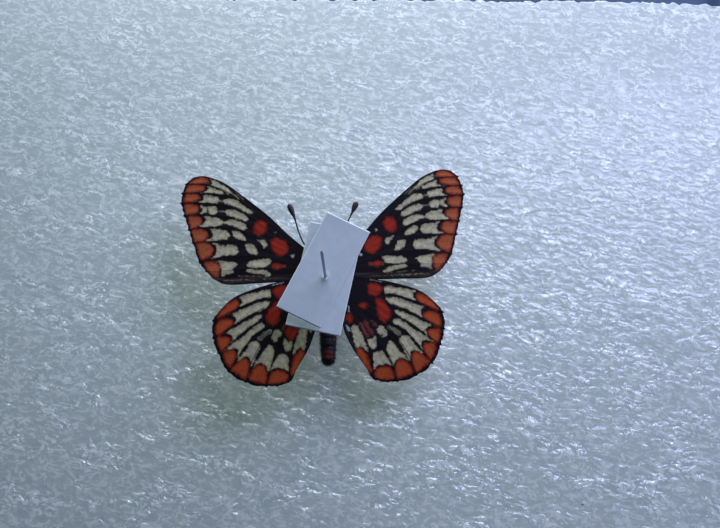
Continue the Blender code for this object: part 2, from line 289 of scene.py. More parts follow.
def add_camera():
    camera = bpy.data.objects.new("camera", bpy.data.cameras.new("camera"))
    camera.data.lens = CAMERA_LENS
    camera.data.sensor_width = SENSOR_WIDTH
    camera.data.clip_start = MM
    ahead = Vector((0, math.sin(CAMERA_TILT), -math.cos(CAMERA_TILT)))
    up = Vector((0, math.cos(CAMERA_TILT), math.sin(CAMERA_TILT)))
    side = Vector((1, 0, 0))
    across = side * math.cos(CAMERA_TURN) + up * math.sin(CAMERA_TURN)
    up = up * math.cos(CAMERA_TURN) - side * math.sin(CAMERA_TURN)
    place = Matrix((across, up, -ahead)).transposed().to_4x4()
    place.translation = CAMERA_PLACE * MM
    camera.matrix_world = place
    bpy.context.scene.collection.objects.link(camera)
    bpy.context.scene.camera = camera


def add_light(name, place, aim, size, power, colour):
    """A round soft light that the camera doesn't see."""
    data = bpy.data.lights.new(name, "AREA")
    data.shape = "DISK"
    data.size = size * MM
    data.energy = power
    data.color = colour
    light = bpy.data.objects.new(name, data)
    light.location = place * MM
    light.rotation_mode = "QUATERNION"
    light.rotation_quaternion = (aim - place).to_track_quat("-Z", "Y")
    light.visible_camera = False
    bpy.context.scene.collection.objects.link(light)


def add_sun(name, way, strength):
    """A wide soft light from far away."""
    data = bpy.data.lights.new(name, "SUN")
    data.energy = strength
    data.angle = SUN_SPREAD
    sun = bpy.data.objects.new(name, data)
    sun.rotation_mode = "QUATERNION"
    sun.rotation_quaternion = (-way).to_track_quat("-Z", "Y")
    bpy.context.scene.collection.objects.link(sun)


def share_light(name, lit, shading=None):
    """Keeps a light to some pieces, and where shading is given, only those cast its shadows."""
    linking = bpy.data.objects[name].light_linking
    linking.receiver_collection = bpy.data.collections.new(f"{name} receivers")
    for piece in lit:
        linking.receiver_collection.objects.link(piece)
    if shading is not None:
        linking.blocker_collection = bpy.data.collections.new(f"{name} blockers")
        for piece in shading:
            linking.blocker_collection.objects.link(piece)


def share_lights():
    """The window lights the specimen over the walls' rims; the room lights the drawer."""
    specimen = [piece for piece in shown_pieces() if piece.name in SPECIMEN_PIECES]
    drawer = [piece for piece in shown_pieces() if piece.name not in SPECIMEN_PIECES]
    solid = [piece for piece in specimen if piece.name not in (*WINGS, *CARDS)]
    share_light("key", specimen, specimen)
    share_light("through", specimen, solid)
    share_light("fill", specimen, solid)
    for name in ("front", "back"):
        share_light(name, (*drawer, bpy.data.objects["floor"]))


class DRAWER_OT_stage(bpy.types.Operator):
    """Adds the camera, the lights and the plain floor"""

    bl_idname = "drawer.stage"
    bl_label = "Stage"

    def execute(self, context):
        settings = context.scene.drawer_stage
        context.scene.view_settings.view_transform = "Standard"
        add_camera()
        for name, power in (("key", settings.key_power), ("through", settings.through_power)):
            add_light(name, KEY_PLACE, KEY_AIM, KEY_SIZE, power, settings.daylight)
        add_light("fill", FILL_PLACE, FILL_AIM, FILL_SIZE, settings.fill_power, SKY_LIGHT)
        add_sun("front", FRONT_WAY, settings.front_strength)
        add_sun("back", BACK_WAY, settings.back_strength)
        world = bpy.data.worlds.new("room")
        world.use_nodes = True
        wires = Wire(world.node_tree)
        seen = wires.node("ShaderNodeLightPath", out="Is Camera Ray")
        wires.feed(world.node_tree.nodes["Background"],
                   Color=seen.blend(toned(ROOM_LIGHT, ROOM_DIMNESS), BACKDROP))
        context.scene.world = world
        shape = bmesh.new()
        bmesh.ops.create_grid(shape, x_segments=1, y_segments=1, size=FLOOR_REACH * MM)
        mesh = bpy.data.meshes.new("floor")
        shape.to_mesh(mesh)
        shape.free()
        floor = bpy.data.objects.new("floor", mesh)
        context.scene.collection.objects.link(floor)
        material, wires, shader = finish("matt_floor", Roughness=0.8)
        tone = place_in_mm(wires).noise(0.004, 3)
        floor_colour = tuple(settings.floor_colour)
        wires.feed(shader, Base_Color=tone.blend(toned(floor_colour, 0.97), floor_colour))
        mesh.materials.append(material)
        floor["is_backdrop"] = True
        return {"FINISHED"}


# --- foam --------------------------------------------------------------------------------------

class FoamSettings(bpy.types.PropertyGroup):
    pitch: FloatProperty(
        name="Mesh pitch", description="Spacing of the points on the foam's skin, in millimetres",
        default=0.54, min=0.2)
    wrinkle: FloatProperty(
        name="Wrinkle height", description="Height of the skin's folds, in millimetres",
        default=0.07, min=0)
    colour: FloatVectorProperty(
        name="Colour", description="Colour of the foam", subtype="COLOR",
        default=(0.55, 0.60, 0.58), min=0, max=1)


FOAM_LOW = Vector((-106.7, -58.7, 8.3))
FOAM_HIGH = Vector((106.7, 74.7, 20.3))
FOLD_SPACING = Vector((9.0, 3.6))
BUBBLE_SPACING = Vector((2.3, 1.4))
SPECK_PLACE = Vector((47.7, -32.1))
TORN_DEPTH = 1.2
TORN_SPACING = 1.4
TORN_OFFSET = 0.25
TORN_WANDER = 0.6
# At the right the far edge falls back by this much, from this place on, over this width.
SKEW = 0.9
SKEW_START = 66.0
SKEW_WIDTH = 20.0


def skin_relief(x, y):
    """The skin's wrinkling, from 0 to 1, and its height, from -1 to 1, at a point of the foam."""
    bend = noise.noise(Vector((x / 15, y / 15, 3.1)))
    lean = y + 0.14 * x + 2.5 * bend
    fold = noise.noise(Vector((x / FOLD_SPACING.x, lean / FOLD_SPACING.y, 0.4)))
    patch = noise.noise(Vector((x / 7, lean / 3.2, 9.2)))
    bubble = noise.noise(Vector((x / BUBBLE_SPACING.x, lean / BUBBLE_SPACING.y, 5.5)))
    wrinkling = max(0.0, min(1.0, 0.85 - 3 * abs(fold) + 1.2 * patch))
    return wrinkling, 0.5 * fold + bubble * (0.25 + 0.5 * wrinkling)


def foam_skin(settings):
    """The foam's block, with its upper skin folded and its far edge torn."""
    size = FOAM_HIGH - FOAM_LOW
    across, deep = round(size.x / settings.pitch), round(size.y / settings.pitch)
    shape = bmesh.new()
    bmesh.ops.create_grid(shape, x_segments=across, y_segments=deep, size=0.5)
    bmesh.ops.scale(shape, vec=(size.x, size.y, 1), verts=shape.verts)
    middle = (FOAM_LOW + FOAM_HIGH) / 2
    bmesh.ops.translate(shape, vec=(middle.x, middle.y, FOAM_HIGH.z), verts=shape.verts)
    layer = shape.verts.layers.float.new("wrinkling")
    top = list(shape.verts)
    for point in top:
        wrinkling, height = skin_relief(point.co.x, point.co.y)
        point[layer] = wrinkling
        point.co.z = FOAM_HIGH.z - settings.wrinkle * (1 - height)
    rim = [edge for edge in shape.edges if edge.is_boundary]
    walls = bmesh.ops.extrude_edge_only(shape, edges=rim)["geom"]
    lower = [item for item in walls if isinstance(item, bmesh.types.BMVert)]
    for point in lower:
        point.co.z = FOAM_LOW.z
    bmesh.ops.holes_fill(shape, edges=[e for e in shape.edges if e.is_boundary], sides=0)
    for point in top:
        torn = (point.co.y - FOAM_HIGH.y + TORN_DEPTH) / TORN_DEPTH
        if torn > 0:
            where = Vector((point.co.x / TORN_SPACING, 0.3, point.co.z))
            ragged = noise.fractal(where, 0.6, 2.0, 3)
            skew = SKEW * max(0.0, min(1.0, (point.co.x - SKEW_START) / SKEW_WIDTH))
            point.co.y -= max(0.0, TORN_OFFSET + skew + TORN_WANDER * ragged) * torn
    bmesh.ops.recalc_face_normals(shape, faces=shape.faces)
    return shape


def foam_material(settings):
    """A pale body that scatters light, with white glints painted into its colour, under a clear
    film whose small humps catch it.
    """
    material, wires, body = finish("white_foam_skin", Roughness=0.6, Specular_IOR_Level=0.1)
    film = wires.node("ShaderNodeBsdfPrincipled", None,
                      {"Base Color": (0.92, 0.95, 1.0, 1.0), "Metallic": 1.0})
    gloss = film.socket.node
    place = place_in_mm(wires)
    clumps = attribute(wires, "wrinkling").step(0.15, 0.95)
    warp = place.noise(0.25, 2, out=1).scaled((2.0, 2.0, 0.0))
    bent = place.drawn(-0.22, (1.9, 1.0, 1.6)).moved(warp)
    humps = bent.noise(0.85, 1, 0.5)
    beads = bent.scaled((1.5, 1.0, 1.0)).noise(1.9, 1, 0.5)
    lift = 0.50 + 0.50 * clumps
    height = (humps - 0.5) * lift + (beads - 0.5) * 0.30 * lift
    wires.feed(gloss, Normal=height.bump(1.0, 0.0010))
    wires.feed(body, Normal=height.bump(1.0, 0.00005))
    base = tuple(settings.colour)
    dim = toned(base, 0.90, 0.92, 0.94)
    mottle = place.noise(0.55, 3, 0.6).step(0.3, 0.7)
    # Painted highlight: white blobs and cell-wall strokes in the base colour stand for glints; they
    # also raise the film's share.
    glint_blobs = (humps * 0.6 + beads * 0.8).step(0.69, 0.90)
    walls = 1 - bent.cells(0.7, "DISTANCE_TO_EDGE").step(0.02, 0.24)
    glint_strokes = walls * bent.noise(1.1, 1, 0.5).step(0.46, 0.62)
    painted_glints = glint_blobs.most(glint_strokes * 0.8) * (0.55 + 0.45 * clumps)
    x, y = place.part(0) - SPECK_PLACE.x, place.part(1) - SPECK_PLACE.y
    speck = 1 - (x * x + y * y * 1.5).step(0.01, 0.08)
    # Painted highlight: the near-white glints over the mottled foam colour.
    tone = painted_glints.blend(mottle.blend(dim, base), (0.98, 0.99, 1.0))
    wires.feed(body, Base_Color=(speck * 0.8).blend(tone, (0.03, 0.03, 0.03)))
    wires.feed(gloss, Roughness=0.20 - 0.04 * clumps)
    mixed = wires.node("ShaderNodeMixShader", None,
                       {0: 0.06 + 0.06 * painted_glints + 0.02 * clumps,
                        1: Wire(wires.tree, body.outputs[0]), 2: film})
    wires.feed(wires.tree.nodes["Material Output"], Surface=mixed)
    return material


class DRAWER_OT_foam(bpy.types.Operator):
    """Models the foam liner with its folded, bubbled skin"""

    bl_idname = "drawer.foam"
    bl_label = "Foam liner"

    def execute(self, context):
        settings = context.scene.drawer_foam
        foam = add_piece("foam", foam_skin(settings), [foam_material(settings)],
                         "white_foam", "foam_liner")
        return {"FINISHED"}


# --- wings -------------------------------------------------------------------------------------

class WingSettings(bpy.types.PropertyGroup):
    cell_points: IntProperty(
        name="Points a cell", description="Mesh points across each space between two veins",
        default=14, min=4)
    row_pitch: FloatProperty(
        name="Row pitch", description="Spacing of the rows from hinge to margin, in millimetres",
        default=0.17, min=0.05)
    thickness: FloatProperty(
        name="Thickness", description="Thickness of the scaled membrane",
        default=0.00008, min=0, subtype="DISTANCE", unit="LENGTH")
    ground: FloatVectorProperty(
        name="Ground", description="Colour of the dark ground", subtype="COLOR",
        default=(0.0056, 0.0031, 0.0062), min=0, max=1)
    cream: FloatVectorProperty(
        name="Cream", description="Colour of the pale bars", subtype="COLOR",
        default=(0.45, 0.39, 0.25), min=0, max=1)
    orange: FloatVectorProperty(
        name="Forewing band", description="Colour of the band along the forewing's margin",
        subtype="COLOR", default=(0.34, 0.080, 0.034), min=0, max=1)
    rust: FloatVectorProperty(
        name="Hindwing band", description="Colour of the band along the hindwing's margin",
        subtype="COLOR", default=(0.34, 0.055, 0.017), min=0, max=1)
    red: FloatVectorProperty(
        name="Red", description="Colour of the spots near the hinge", subtype="COLOR",
        default=(0.26, 0.018, 0.009), min=0, max=1)


# The right wings as seen from below, in millimetres: x outwards, y towards the head. Each line
# runs from the hinge to the margin, the front edge first; the veins show from their second point.
FOREWING = {
    "hinge": (3.0, 2.0), "rise": 0.0, "scallop": 0.15, "tuft": 0.40,
    "lines": [
        [(1.7, 5.0), (4.6, 7.7), (7.4, 10.6), (10.2, 13.9), (13.0, 16.7), (15.8, 19.3),
         (18.6, 21.7), (21.2, 23.1), (23.0, 23.6), (24.6, 23.4)],
        [(1.7, 4.65), (16.2, 18.2), (17.5, 19.3), (19.4, 20.6), (21.6, 21.4), (23.1, 21.9),
         (25.8, 22.1)],
        [(1.7, 4.3), (13.1, 14.9), (14.6, 16.7), (16.8, 18.4), (19.3, 19.3), (21.7, 19.8),
         (23.5, 20.1), (26.6, 20.2)],
        [(1.7, 4.0), (13.8, 14.2), (16.5, 15.9), (18.3, 16.9), (20.2, 17.4), (22.0, 17.7),
         (24.7, 18.1), (26.9, 18.2)],
        [(1.7, 3.7), (14.8, 13.1), (16.4, 13.8), (18.3, 14.6), (19.7, 15.0), (21.5, 15.2),
         (23.7, 15.5), (26.4, 15.5)],
        [(1.7, 3.4), (14.9, 11.2), (16.0, 11.8), (17.8, 12.4), (19.4, 12.7), (21.4, 12.7),
         (23.5, 12.9), (25.7, 12.7)],
        [(1.7, 3.1), (13.3, 8.6), (15.0, 9.2), (16.5, 9.6), (18.2, 9.7), (20.4, 9.8),
         (22.5, 10.0), (25.0, 9.9)],
        [(1.7, 2.8), (11.1, 5.8), (13.5, 6.3), (16.2, 6.6), (17.9, 6.6), (19.7, 6.6),
         (22.0, 6.4), (23.9, 6.0)],
        [(1.7, 2.5), (10.9, 3.6), (13.8, 3.9), (17.6, 3.9), (20.1, 3.9), (22.75, 4.1)],
        [(1.7, 2.2), (4.4, 0.9), (7.5, 0.8), (11.0, 0.8), (14.5, 0.9), (18.0, 1.0), (20.0, 1.4),
         (21.6, 2.4)],
    ],
    "faint_lines": (8,),
    "cream": [
        [(17.4, 19.7), (18.2, 20.7), (19.4, 21.6), (20.9, 22.5), (21.3, 22.7), (21.0, 22.0),
         (21.3, 21.5), (20.1, 21.0), (19.1, 20.3), (18.3, 19.7), (17.7, 19.3)],
        [(18.8, 19.5), (19.1, 20.0), (20.1, 20.4), (21.2, 21.0), (21.9, 21.3), (21.7, 20.7),
         (22.0, 20.3), (23.0, 20.0), (22.0, 20.0), (21.2, 19.9), (20.1, 19.6), (19.4, 19.4)],
        [(19.8, 18.2), (20.0, 18.8), (21.2, 19.2), (22.1, 19.4), (22.8, 19.4), (22.7, 18.8),
         (22.9, 18.4), (23.7, 18.1), (22.9, 18.0), (22.0, 18.1), (21.2, 17.8), (20.3, 17.6)],
        [(13.4, 15.0), (13.8, 15.5), (15.2, 16.7), (16.4, 17.8), (17.3, 18.2), (18.1, 18.4),
         (18.9, 18.1), (18.8, 17.5), (17.8, 17.1), (16.5, 16.6), (15.3, 15.8), (14.1, 14.9)],
        [(20.2, 16.2), (20.5, 16.8), (21.4, 17.1), (22.0, 17.0), (22.1, 16.3), (21.9, 15.6),
         (20.9, 15.4), (20.4, 15.7)],
        [(22.3, 16.9), (22.9, 17.2), (23.5, 17.4), (23.1, 16.8), (23.1, 16.3), (23.7, 15.7),
         (22.9, 15.8), (22.3, 16.1)],
        [(14.5, 13.8), (14.7, 14.4), (15.8, 15.3), (17.0, 15.9), (18.1, 16.1), (18.8, 15.9),
         (18.8, 15.5), (18.1, 14.9), (17.0, 14.5), (15.8, 13.9), (15.1, 13.5)],
        [(19.3, 13.7), (19.6, 14.2), (20.4, 14.6), (21.4, 14.8), (22.8, 15.1), (22.5, 14.4),
         (22.8, 13.8), (23.9, 13.2), (22.7, 13.0), (21.5, 13.0), (20.4, 13.0), (19.6, 13.2)],
        [(14.8, 12.1), (15.0, 12.8), (15.9, 13.4), (17.0, 13.8), (18.1, 14.0), (18.8, 13.8),
         (18.9, 13.3), (18.0, 13.0), (17.0, 12.5), (16.1, 12.0), (15.3, 11.7)],
        [(18.2, 10.8), (18.4, 11.5), (19.0, 11.9), (20.0, 12.1), (20.9, 12.2), (22.1, 12.6),
         (21.4, 11.9), (21.3, 11.1), (21.6, 10.5), (22.8, 10.1), (21.0, 10.0), (19.9, 10.2),
         (18.9, 10.1)],
        [(15.1, 9.7), (15.3, 10.4), (16.3, 11.3), (16.9, 11.6), (17.5, 11.6), (17.6, 11.0),
         (17.2, 10.4), (16.5, 10.0), (15.7, 9.7)],
        [(16.7, 7.5), (17.0, 8.6), (18.0, 8.9), (19.1, 8.8), (20.3, 9.1), (21.5, 9.6),
         (20.8, 8.8), (20.6, 7.9), (21.0, 7.2), (22.0, 6.4), (20.6, 6.6), (19.4, 7.0),
         (18.0, 6.9), (17.1, 7.0)],
        [(11.1, 8.6), (11.5, 9.2), (12.9, 9.5), (12.4, 8.9), (12.0, 8.4), (11.8, 7.8),
         (11.3, 8.1)],
        [(13.0, 6.7), (13.3, 7.6), (13.7, 8.4), (14.4, 8.8), (15.2, 8.8), (15.2, 7.9),
         (14.7, 7.3), (14.1, 6.8), (13.4, 6.6)],
        [(10.5, 5.3), (11.3, 5.5), (12.8, 5.4), (14.1, 5.4), (14.9, 5.1), (15.3, 4.5),
         (14.7, 4.2), (13.6, 4.0), (12.3, 4.0), (11.4, 4.1), (10.8, 4.6)],
        [(10.7, 2.3), (11.2, 2.9), (12.2, 3.4), (13.4, 3.5), (15.0, 3.7), (15.4, 3.4),
         (14.8, 3.1), (13.4, 2.8), (12.2, 2.5), (11.4, 2.2)],
        [(17.1, 5.0), (18.0, 5.5), (19.1, 5.6), (20.7, 6.0), (20.2, 5.2), (20.0, 4.2),
         (20.1, 2.9), (19.1, 3.2), (17.8, 3.4), (18.1, 3.9), (17.5, 4.4)],
    ],
    "orange": [
        [(21.6, 22.2), (21.8, 22.7), (22.4, 23.2), (23.3, 23.4), (24.2, 23.2), (25.0, 22.6),
         (25.5, 22.1), (24.3, 22.1), (23.2, 22.0), (22.3, 22.1)],
        [(22.4, 21.2), (22.9, 21.6), (23.9, 21.9), (25.6, 21.9), (26.0, 21.2), (26.2, 20.5),
         (25.1, 20.3), (23.6, 20.4), (22.7, 20.6)],
        [(23.5, 19.1), (23.9, 19.7), (24.7, 20.0), (26.2, 20.1), (26.6, 19.2), (26.6, 18.4),
         (25.2, 18.3), (24.0, 18.5)],
        [(23.8, 17.1), (24.3, 17.6), (25.4, 17.9), (26.6, 17.9), (26.6, 16.6), (26.3, 15.8),
         (24.8, 15.8), (24.0, 16.3)],
        [(23.3, 14.3), (23.5, 14.9), (24.3, 15.3), (25.9, 15.4), (25.9, 14.1), (25.6, 12.9),
         (24.4, 13.0), (23.6, 13.6)],
        [(22.3, 11.4), (22.7, 12.2), (23.5, 12.6), (25.4, 12.6), (25.3, 11.2), (24.9, 10.1),
         (23.3, 10.2), (22.6, 10.7)],
        [(21.3, 8.1), (21.6, 8.9), (22.3, 9.6), (23.4, 9.9), (24.7, 9.8), (24.5, 8.6),
         (24.1, 7.2), (23.7, 6.4), (22.9, 6.6), (21.9, 7.1)],
        [(20.4, 4.2), (20.4, 5.1), (20.9, 5.7), (22.0, 6.0), (23.4, 5.9), (23.0, 4.9),
         (22.5, 4.0), (21.9, 3.2), (21.1, 2.7), (20.5, 3.2)],
    ],
    "streaks": [
        ([(9.5, 10.7)], 0.24), ([(6.4, 5.7)], 0.3),
        ([(16.1, 18.2), (16.6, 18.8), (17.4, 19.6)], 0.24),
        ([(15.2, 18.0), (15.9, 18.8), (16.6, 19.6)], 0.08),
        ([(22.2, 20.1), (23.3, 20.0)], 0.12), ([(19.0, 17.9), (19.9, 18.2)], 0.2),
        ([(18.9, 15.8), (20.2, 16.1)], 0.15), ([(18.9, 13.5), (19.4, 13.6)], 0.25),
        ([(11.0, 1.5), (15.5, 1.7), (19.8, 2.0)], 0.08), ([(11.5, 2.1), (17.0, 2.6)], 0.07),
    ],
    "red": [
        [(12.0, 13.5), (13.1, 13.2), (13.6, 12.0), (13.5, 10.9), (12.7, 10.2), (11.7, 10.4),
         (11.0, 11.3), (10.8, 12.5), (11.3, 13.3)],
        [(8.3, 9.3), (9.4, 9.7), (10.4, 9.3), (10.5, 8.2), (10.1, 7.1), (9.5, 6.2), (8.7, 5.7),
         (7.4, 6.3), (7.0, 7.2), (7.5, 8.6)],
        [(8.6, 3.9), (9.0, 4.3), (9.8, 4.6), (10.4, 4.3), (10.3, 3.4), (9.5, 3.1), (8.8, 3.4)],
    ],
    "dusky": [([(8.2, 3.8), (10.4, 3.8)], 0.3)],
    "left_red": [],
    "brown_edge": 1.1,
}
HINDWING = {
    "hinge": (3.0, -2.0), "rise": 0.6, "scallop": 0.3, "tuft": 0.40,
    "lines": [
        [(1.7, 1.6), (5.0, 1.3), (8.3, 0.8), (11.0, 0.3), (13.2, -0.2), (15.4, -0.8),
         (17.3, -1.5), (18.9, -2.5), (20.4, -3.9)],
        [(1.7, 1.1), (10.9, -2.1), (13.7, -2.7), (17.0, -3.8), (21.4, -5.6)],
        [(1.7, 0.7), (12.0, -4.1), (14.5, -5.2), (17.8, -7.0), (21.6, -8.8)],
        [(1.7, 0.3), (12.6, -6.3), (15.1, -7.8), (18.3, -10.0), (20.8, -11.8)],
        [(1.7, -0.1), (11.9, -7.8), (14.7, -9.6), (17.3, -12.6), (19.2, -15.2)],
        [(1.7, -0.5), (11.1, -8.6), (13.4, -11.4), (15.2, -14.4), (16.3, -17.4)],
        [(1.7, -0.9), (9.5, -11.2), (10.5, -13.4), (11.7, -15.6), (12.6, -18.5)],
        [(1.7, -1.4), (6.1, -9.0), (7.2, -11.4), (8.0, -14.0), (8.5, -18.1)],
        [(1.7, -2.2), (2.4, -6.0), (2.9, -9.0), (3.8, -11.2), (4.8, -13.1), (6.0, -14.8),
         (7.1, -16.4)],
    ],
    "faint_lines": (),
    "cream": [
        [(10.9, -0.7), (12.0, -0.8), (13.3, -1.1), (14.6, -1.3), (15.9, -1.5), (16.8, -1.7),
         (16.3, -2.1), (16.1, -2.8), (16.7, -3.5), (15.7, -3.2), (14.6, -2.8), (13.3, -2.3),
         (12.0, -2.1), (10.8, -2.3)],
        [(10.9, -3.0), (12.6, -3.0), (14.0, -3.3), (15.3, -3.8), (16.6, -4.3), (18.3, -4.8),
         (17.6, -5.2), (17.4, -5.8), (17.8, -6.8), (17.1, -6.3), (16.0, -5.8), (14.9, -5.1),
         (13.3, -4.7), (12.0, -4.3), (11.2, -3.6)],
        [(12.6, -5.4), (13.4, -5.5), (14.6, -6.1), (15.9, -6.6), (17.2, -7.2), (18.4, -7.8),
         (19.6, -8.4), (18.5, -8.7), (18.1, -9.2), (18.6, -10.3), (17.8, -9.4), (16.8, -8.6),
         (15.8, -7.9), (14.6, -7.1), (13.5, -6.5), (12.9, -6.0)],
        [(12.1, -7.6), (13.0, -7.0), (14.0, -7.5), (15.0, -8.3), (15.9, -9.0), (17.4, -9.9),
         (18.6, -10.7), (19.8, -11.6), (18.2, -11.0), (17.5, -11.3), (17.3, -12.0),
         (17.7, -13.3), (17.0, -11.9), (15.9, -10.7), (15.1, -9.7), (14.0, -8.6), (12.9, -8.2)],
        [(13.3, -11.1), (13.9, -10.4), (14.7, -10.3), (15.3, -10.9), (15.9, -11.8),
         (16.7, -12.7), (17.7, -13.7), (16.1, -12.9), (15.4, -13.2), (15.2, -14.2),
         (15.1, -15.0), (14.6, -13.9), (14.0, -12.6), (13.4, -11.7)],
        [(10.8, -12.4), (11.1, -11.7), (11.8, -11.3), (12.4, -12.0), (13.1, -13.0),
         (14.0, -13.9), (14.9, -15.0), (13.8, -14.3), (13.1, -14.4), (12.5, -14.8),
         (12.1, -16.1), (11.6, -14.6), (11.1, -13.4)],
        [(8.3, -14.0), (8.7, -13.3), (9.9, -13.1), (10.4, -13.8), (11.1, -14.8), (11.9, -16.0),
         (10.9, -15.5), (9.8, -15.6), (9.0, -15.9), (8.5, -16.5), (8.4, -15.0)],
        [(4.3, -8.6), (4.9, -8.2), (5.5, -8.5), (6.1, -9.6), (6.6, -10.9), (7.1, -12.1),
         (7.5, -13.5), (6.5, -12.4), (5.9, -12.1), (5.2, -12.8), (4.9, -11.5), (4.6, -10.0)],
        [(7.3, -11.0), (8.3, -10.9), (8.7, -10.2), (9.0, -10.9), (9.0, -12.3), (8.4, -12.7),
         (7.8, -12.4), (7.5, -11.7)],
        [(9.1, -9.2), (9.8, -8.4), (10.4, -8.6), (10.7, -9.2), (11.1, -9.9), (10.7, -10.6),
         (10.0, -10.6), (10.3, -10.1), (10.0, -9.9), (9.5, -9.8)],
    ],
    "orange": [
        [(16.8, -2.6), (17.1, -2.1), (17.9, -2.2), (19.2, -2.9), (20.2, -4.0), (20.9, -5.1),
         (20.7, -5.5), (19.7, -5.0), (18.4, -4.4), (17.4, -3.9), (16.9, -3.2)],
        [(17.9, -6.5), (18.2, -5.9), (19.0, -5.6), (20.0, -5.6), (20.8, -6.0), (21.3, -6.9),
         (21.3, -8.0), (21.1, -8.7), (20.4, -8.5), (19.2, -7.6), (18.4, -7.0)],
        [(18.7, -9.7), (19.0, -9.2), (19.9, -8.9), (21.1, -9.0), (21.1, -10.1), (20.7, -11.1),
         (20.4, -11.8), (19.7, -11.3), (19.1, -10.6)],
        [(17.8, -12.2), (18.2, -11.7), (19.0, -11.6), (20.1, -11.9), (20.1, -12.7),
         (19.7, -13.7), (19.1, -14.8), (18.4, -14.0), (17.9, -13.1)],
        [(15.5, -14.4), (15.8, -13.5), (16.6, -13.2), (17.6, -13.9), (18.7, -14.8),
         (18.9, -15.3), (18.0, -15.8), (17.2, -16.6), (16.5, -17.2), (15.9, -16.7),
         (15.6, -15.5)],
        [(12.4, -15.9), (12.8, -15.1), (13.8, -14.7), (14.8, -15.4), (15.5, -16.5),
         (15.7, -17.2), (15.2, -17.6), (14.0, -17.9), (12.9, -18.3), (12.5, -17.4)],
        [(8.6, -17.0), (9.3, -16.3), (10.4, -16.0), (11.5, -16.3), (12.1, -17.4), (12.2, -18.4),
         (10.4, -18.5), (9.2, -18.3), (8.5, -17.8)],
        [(5.2, -13.3), (5.6, -12.6), (6.3, -12.7), (7.1, -13.7), (7.6, -15.0), (8.1, -16.8),
         (7.8, -17.3), (6.9, -16.2), (5.9, -14.7)],
    ],
    "streaks": [
        ([(3.4, -8.3), (3.9, -9.3)], 0.2), ([(3.9, -4.8), (3.9, -5.6)], 0.15),
        ([(11.5, -8.8), (12.3, -9.1), (13.3, -9.9)], 0.45), ([(8.2, 0.5), (10.4, 0.1)], 0.08),
    ],
    "red": [
        [(7.5, -0.6), (8.2, 0.0), (9.2, -0.1), (10.2, -0.6), (10.3, -1.5), (9.8, -2.4),
         (8.7, -2.8), (7.6, -2.3)],
        [(8.9, -3.1), (9.9, -3.1), (10.9, -4.0), (11.7, -5.1), (12.0, -6.2), (11.4, -7.3),
         (10.6, -7.9), (9.8, -7.4), (9.3, -6.2), (9.1, -4.9)],
        [(5.8, -4.4), (6.5, -3.8), (7.4, -4.1), (7.5, -4.7), (6.7, -5.3), (6.0, -5.0)],
        [(3.3, -6.1), (4.2, -5.9), (4.7, -6.7), (4.6, -7.8), (3.9, -8.0), (3.3, -7.3)],
    ],
    "dusky": [([(6.2, -8.1), (7.3, -10.4)], 0.3), ([(6.9, -7.7), (8.2, -9.9)], 0.3),
              ([(8.3, -7.5), (9.1, -8.4)], 0.2)],
    "left_red": [
        [(5.9, -9.1), (6.6, -8.5), (8.1, -8.0), (8.7, -8.9), (8.3, -9.9), (7.8, -10.8),
         (7.1, -10.8), (6.3, -9.9)],
    ],
    "brown_edge": 0.5,
}
LEFT_SWEEP = math.radians(4.5)
KNOT_SPACING = 3.0
CORNER_CUT = 0.14
MARGIN_LINE = 0.16
FRINGE = 0.22
FRINGE_REACH = 0.15
SCALLOP_REACH = 0.45
TUFT_HALF_WIDTH = 0.25
VEIN_HALF_WIDTH = 0.13
FAINT_SHARE = 0.35
RIDGE_HEIGHT = 0.04
RIDGE_HALF_WIDTH = 0.16
PLEAT_DEPTH = 0.07
PLEAT_REACH = 9.0
PLEAT_WIDTH = 2.5
FAR = 9.0


def with_ends(rows):
    """The rows and one more before and after them, in line with their ends."""
    return np.concatenate((2 * rows[:1] - rows[1:2], rows, 2 * rows[-1:] - rows[-2:-1]))


def smooth_between(a, b, c, d, u):
    """The place at a share u of the smooth way from b to c, that comes from a and goes to d."""
    return b + 0.5 * u * (c - a + u * (2 * a - 5 * b + 4 * c - d + u * (3 * (b - c) + d - a)))


def smooth_line(points, shares):
    """Places at the given shares of a smooth line's length."""
    knots = [np.array(points[0], float)]
    for point in points[1:]:
        start = knots[-1]
        step = np.array(point, float) - start
        pieces = max(1, round(np.linalg.norm(step) / KNOT_SPACING))
        knots += [start + step * (k + 1) / pieces for k in range(pieces)]
    knots = np.array(knots)
    ends = with_ends(knots)
    u = np.linspace(0, 1, 10, endpoint=False)[:, None]
    bends = [smooth_between(*four, u) for four in zip(ends, ends[1:], ends[2:], ends[3:])]
    fine = np.vstack((*bends, knots[-1:]))
    along = np.concatenate(([0], np.cumsum(np.linalg.norm(np.diff(fine, axis=0), axis=1))))
    places = np.asarray(shares) * along[-1]
    return np.stack([np.interp(places, along, part) for part in fine.T], axis=-1)


def segment_distance(place, start, end):
    """Distance of every place from a straight piece of line."""
    start, end = np.array(start, float), np.array(end, float)
    step = end - start
    share = np.clip(((place - start) @ step) / max(step @ step, 1e-9), 0, 1)
    return np.linalg.norm(place - start - share[..., None] * step, axis=-1)


def inside_depth(place, corners):
    """Depth of every place inside a closed mark: positive inside, negative outside."""
    corners = [tuple(a[k] * (1 - share) + b[k] * share for k in (0, 1))
               for a, b in zip(corners, corners[1:] + corners[:1])
               for share in (CORNER_CUT, 1 - CORNER_CUT)]
    depth = np.full(place.shape[:-1], np.inf)
    inside = np.zeros(place.shape[:-1], bool)
    for (ax, ay), (bx, by) in zip(corners, corners[1:] + corners[:1]):
        depth = np.minimum(depth, segment_distance(place, (ax, ay), (bx, by)))
        if ay != by:
            crossing = ax + (place[..., 1] - ay) * (bx - ax) / (by - ay)
            inside ^= ((place[..., 1] < ay) != (place[..., 1] < by)) & (place[..., 0] < crossing)
    return np.where(inside, depth, -depth)


def streak_depth(place, points, half):
    """Depth of every place inside a stroke of the given half width."""
    ends = list(zip(points, points[1:])) or [(points[0], points[0])]
    return half - np.min([segment_distance(place, a, b) for a, b in ends], axis=0)


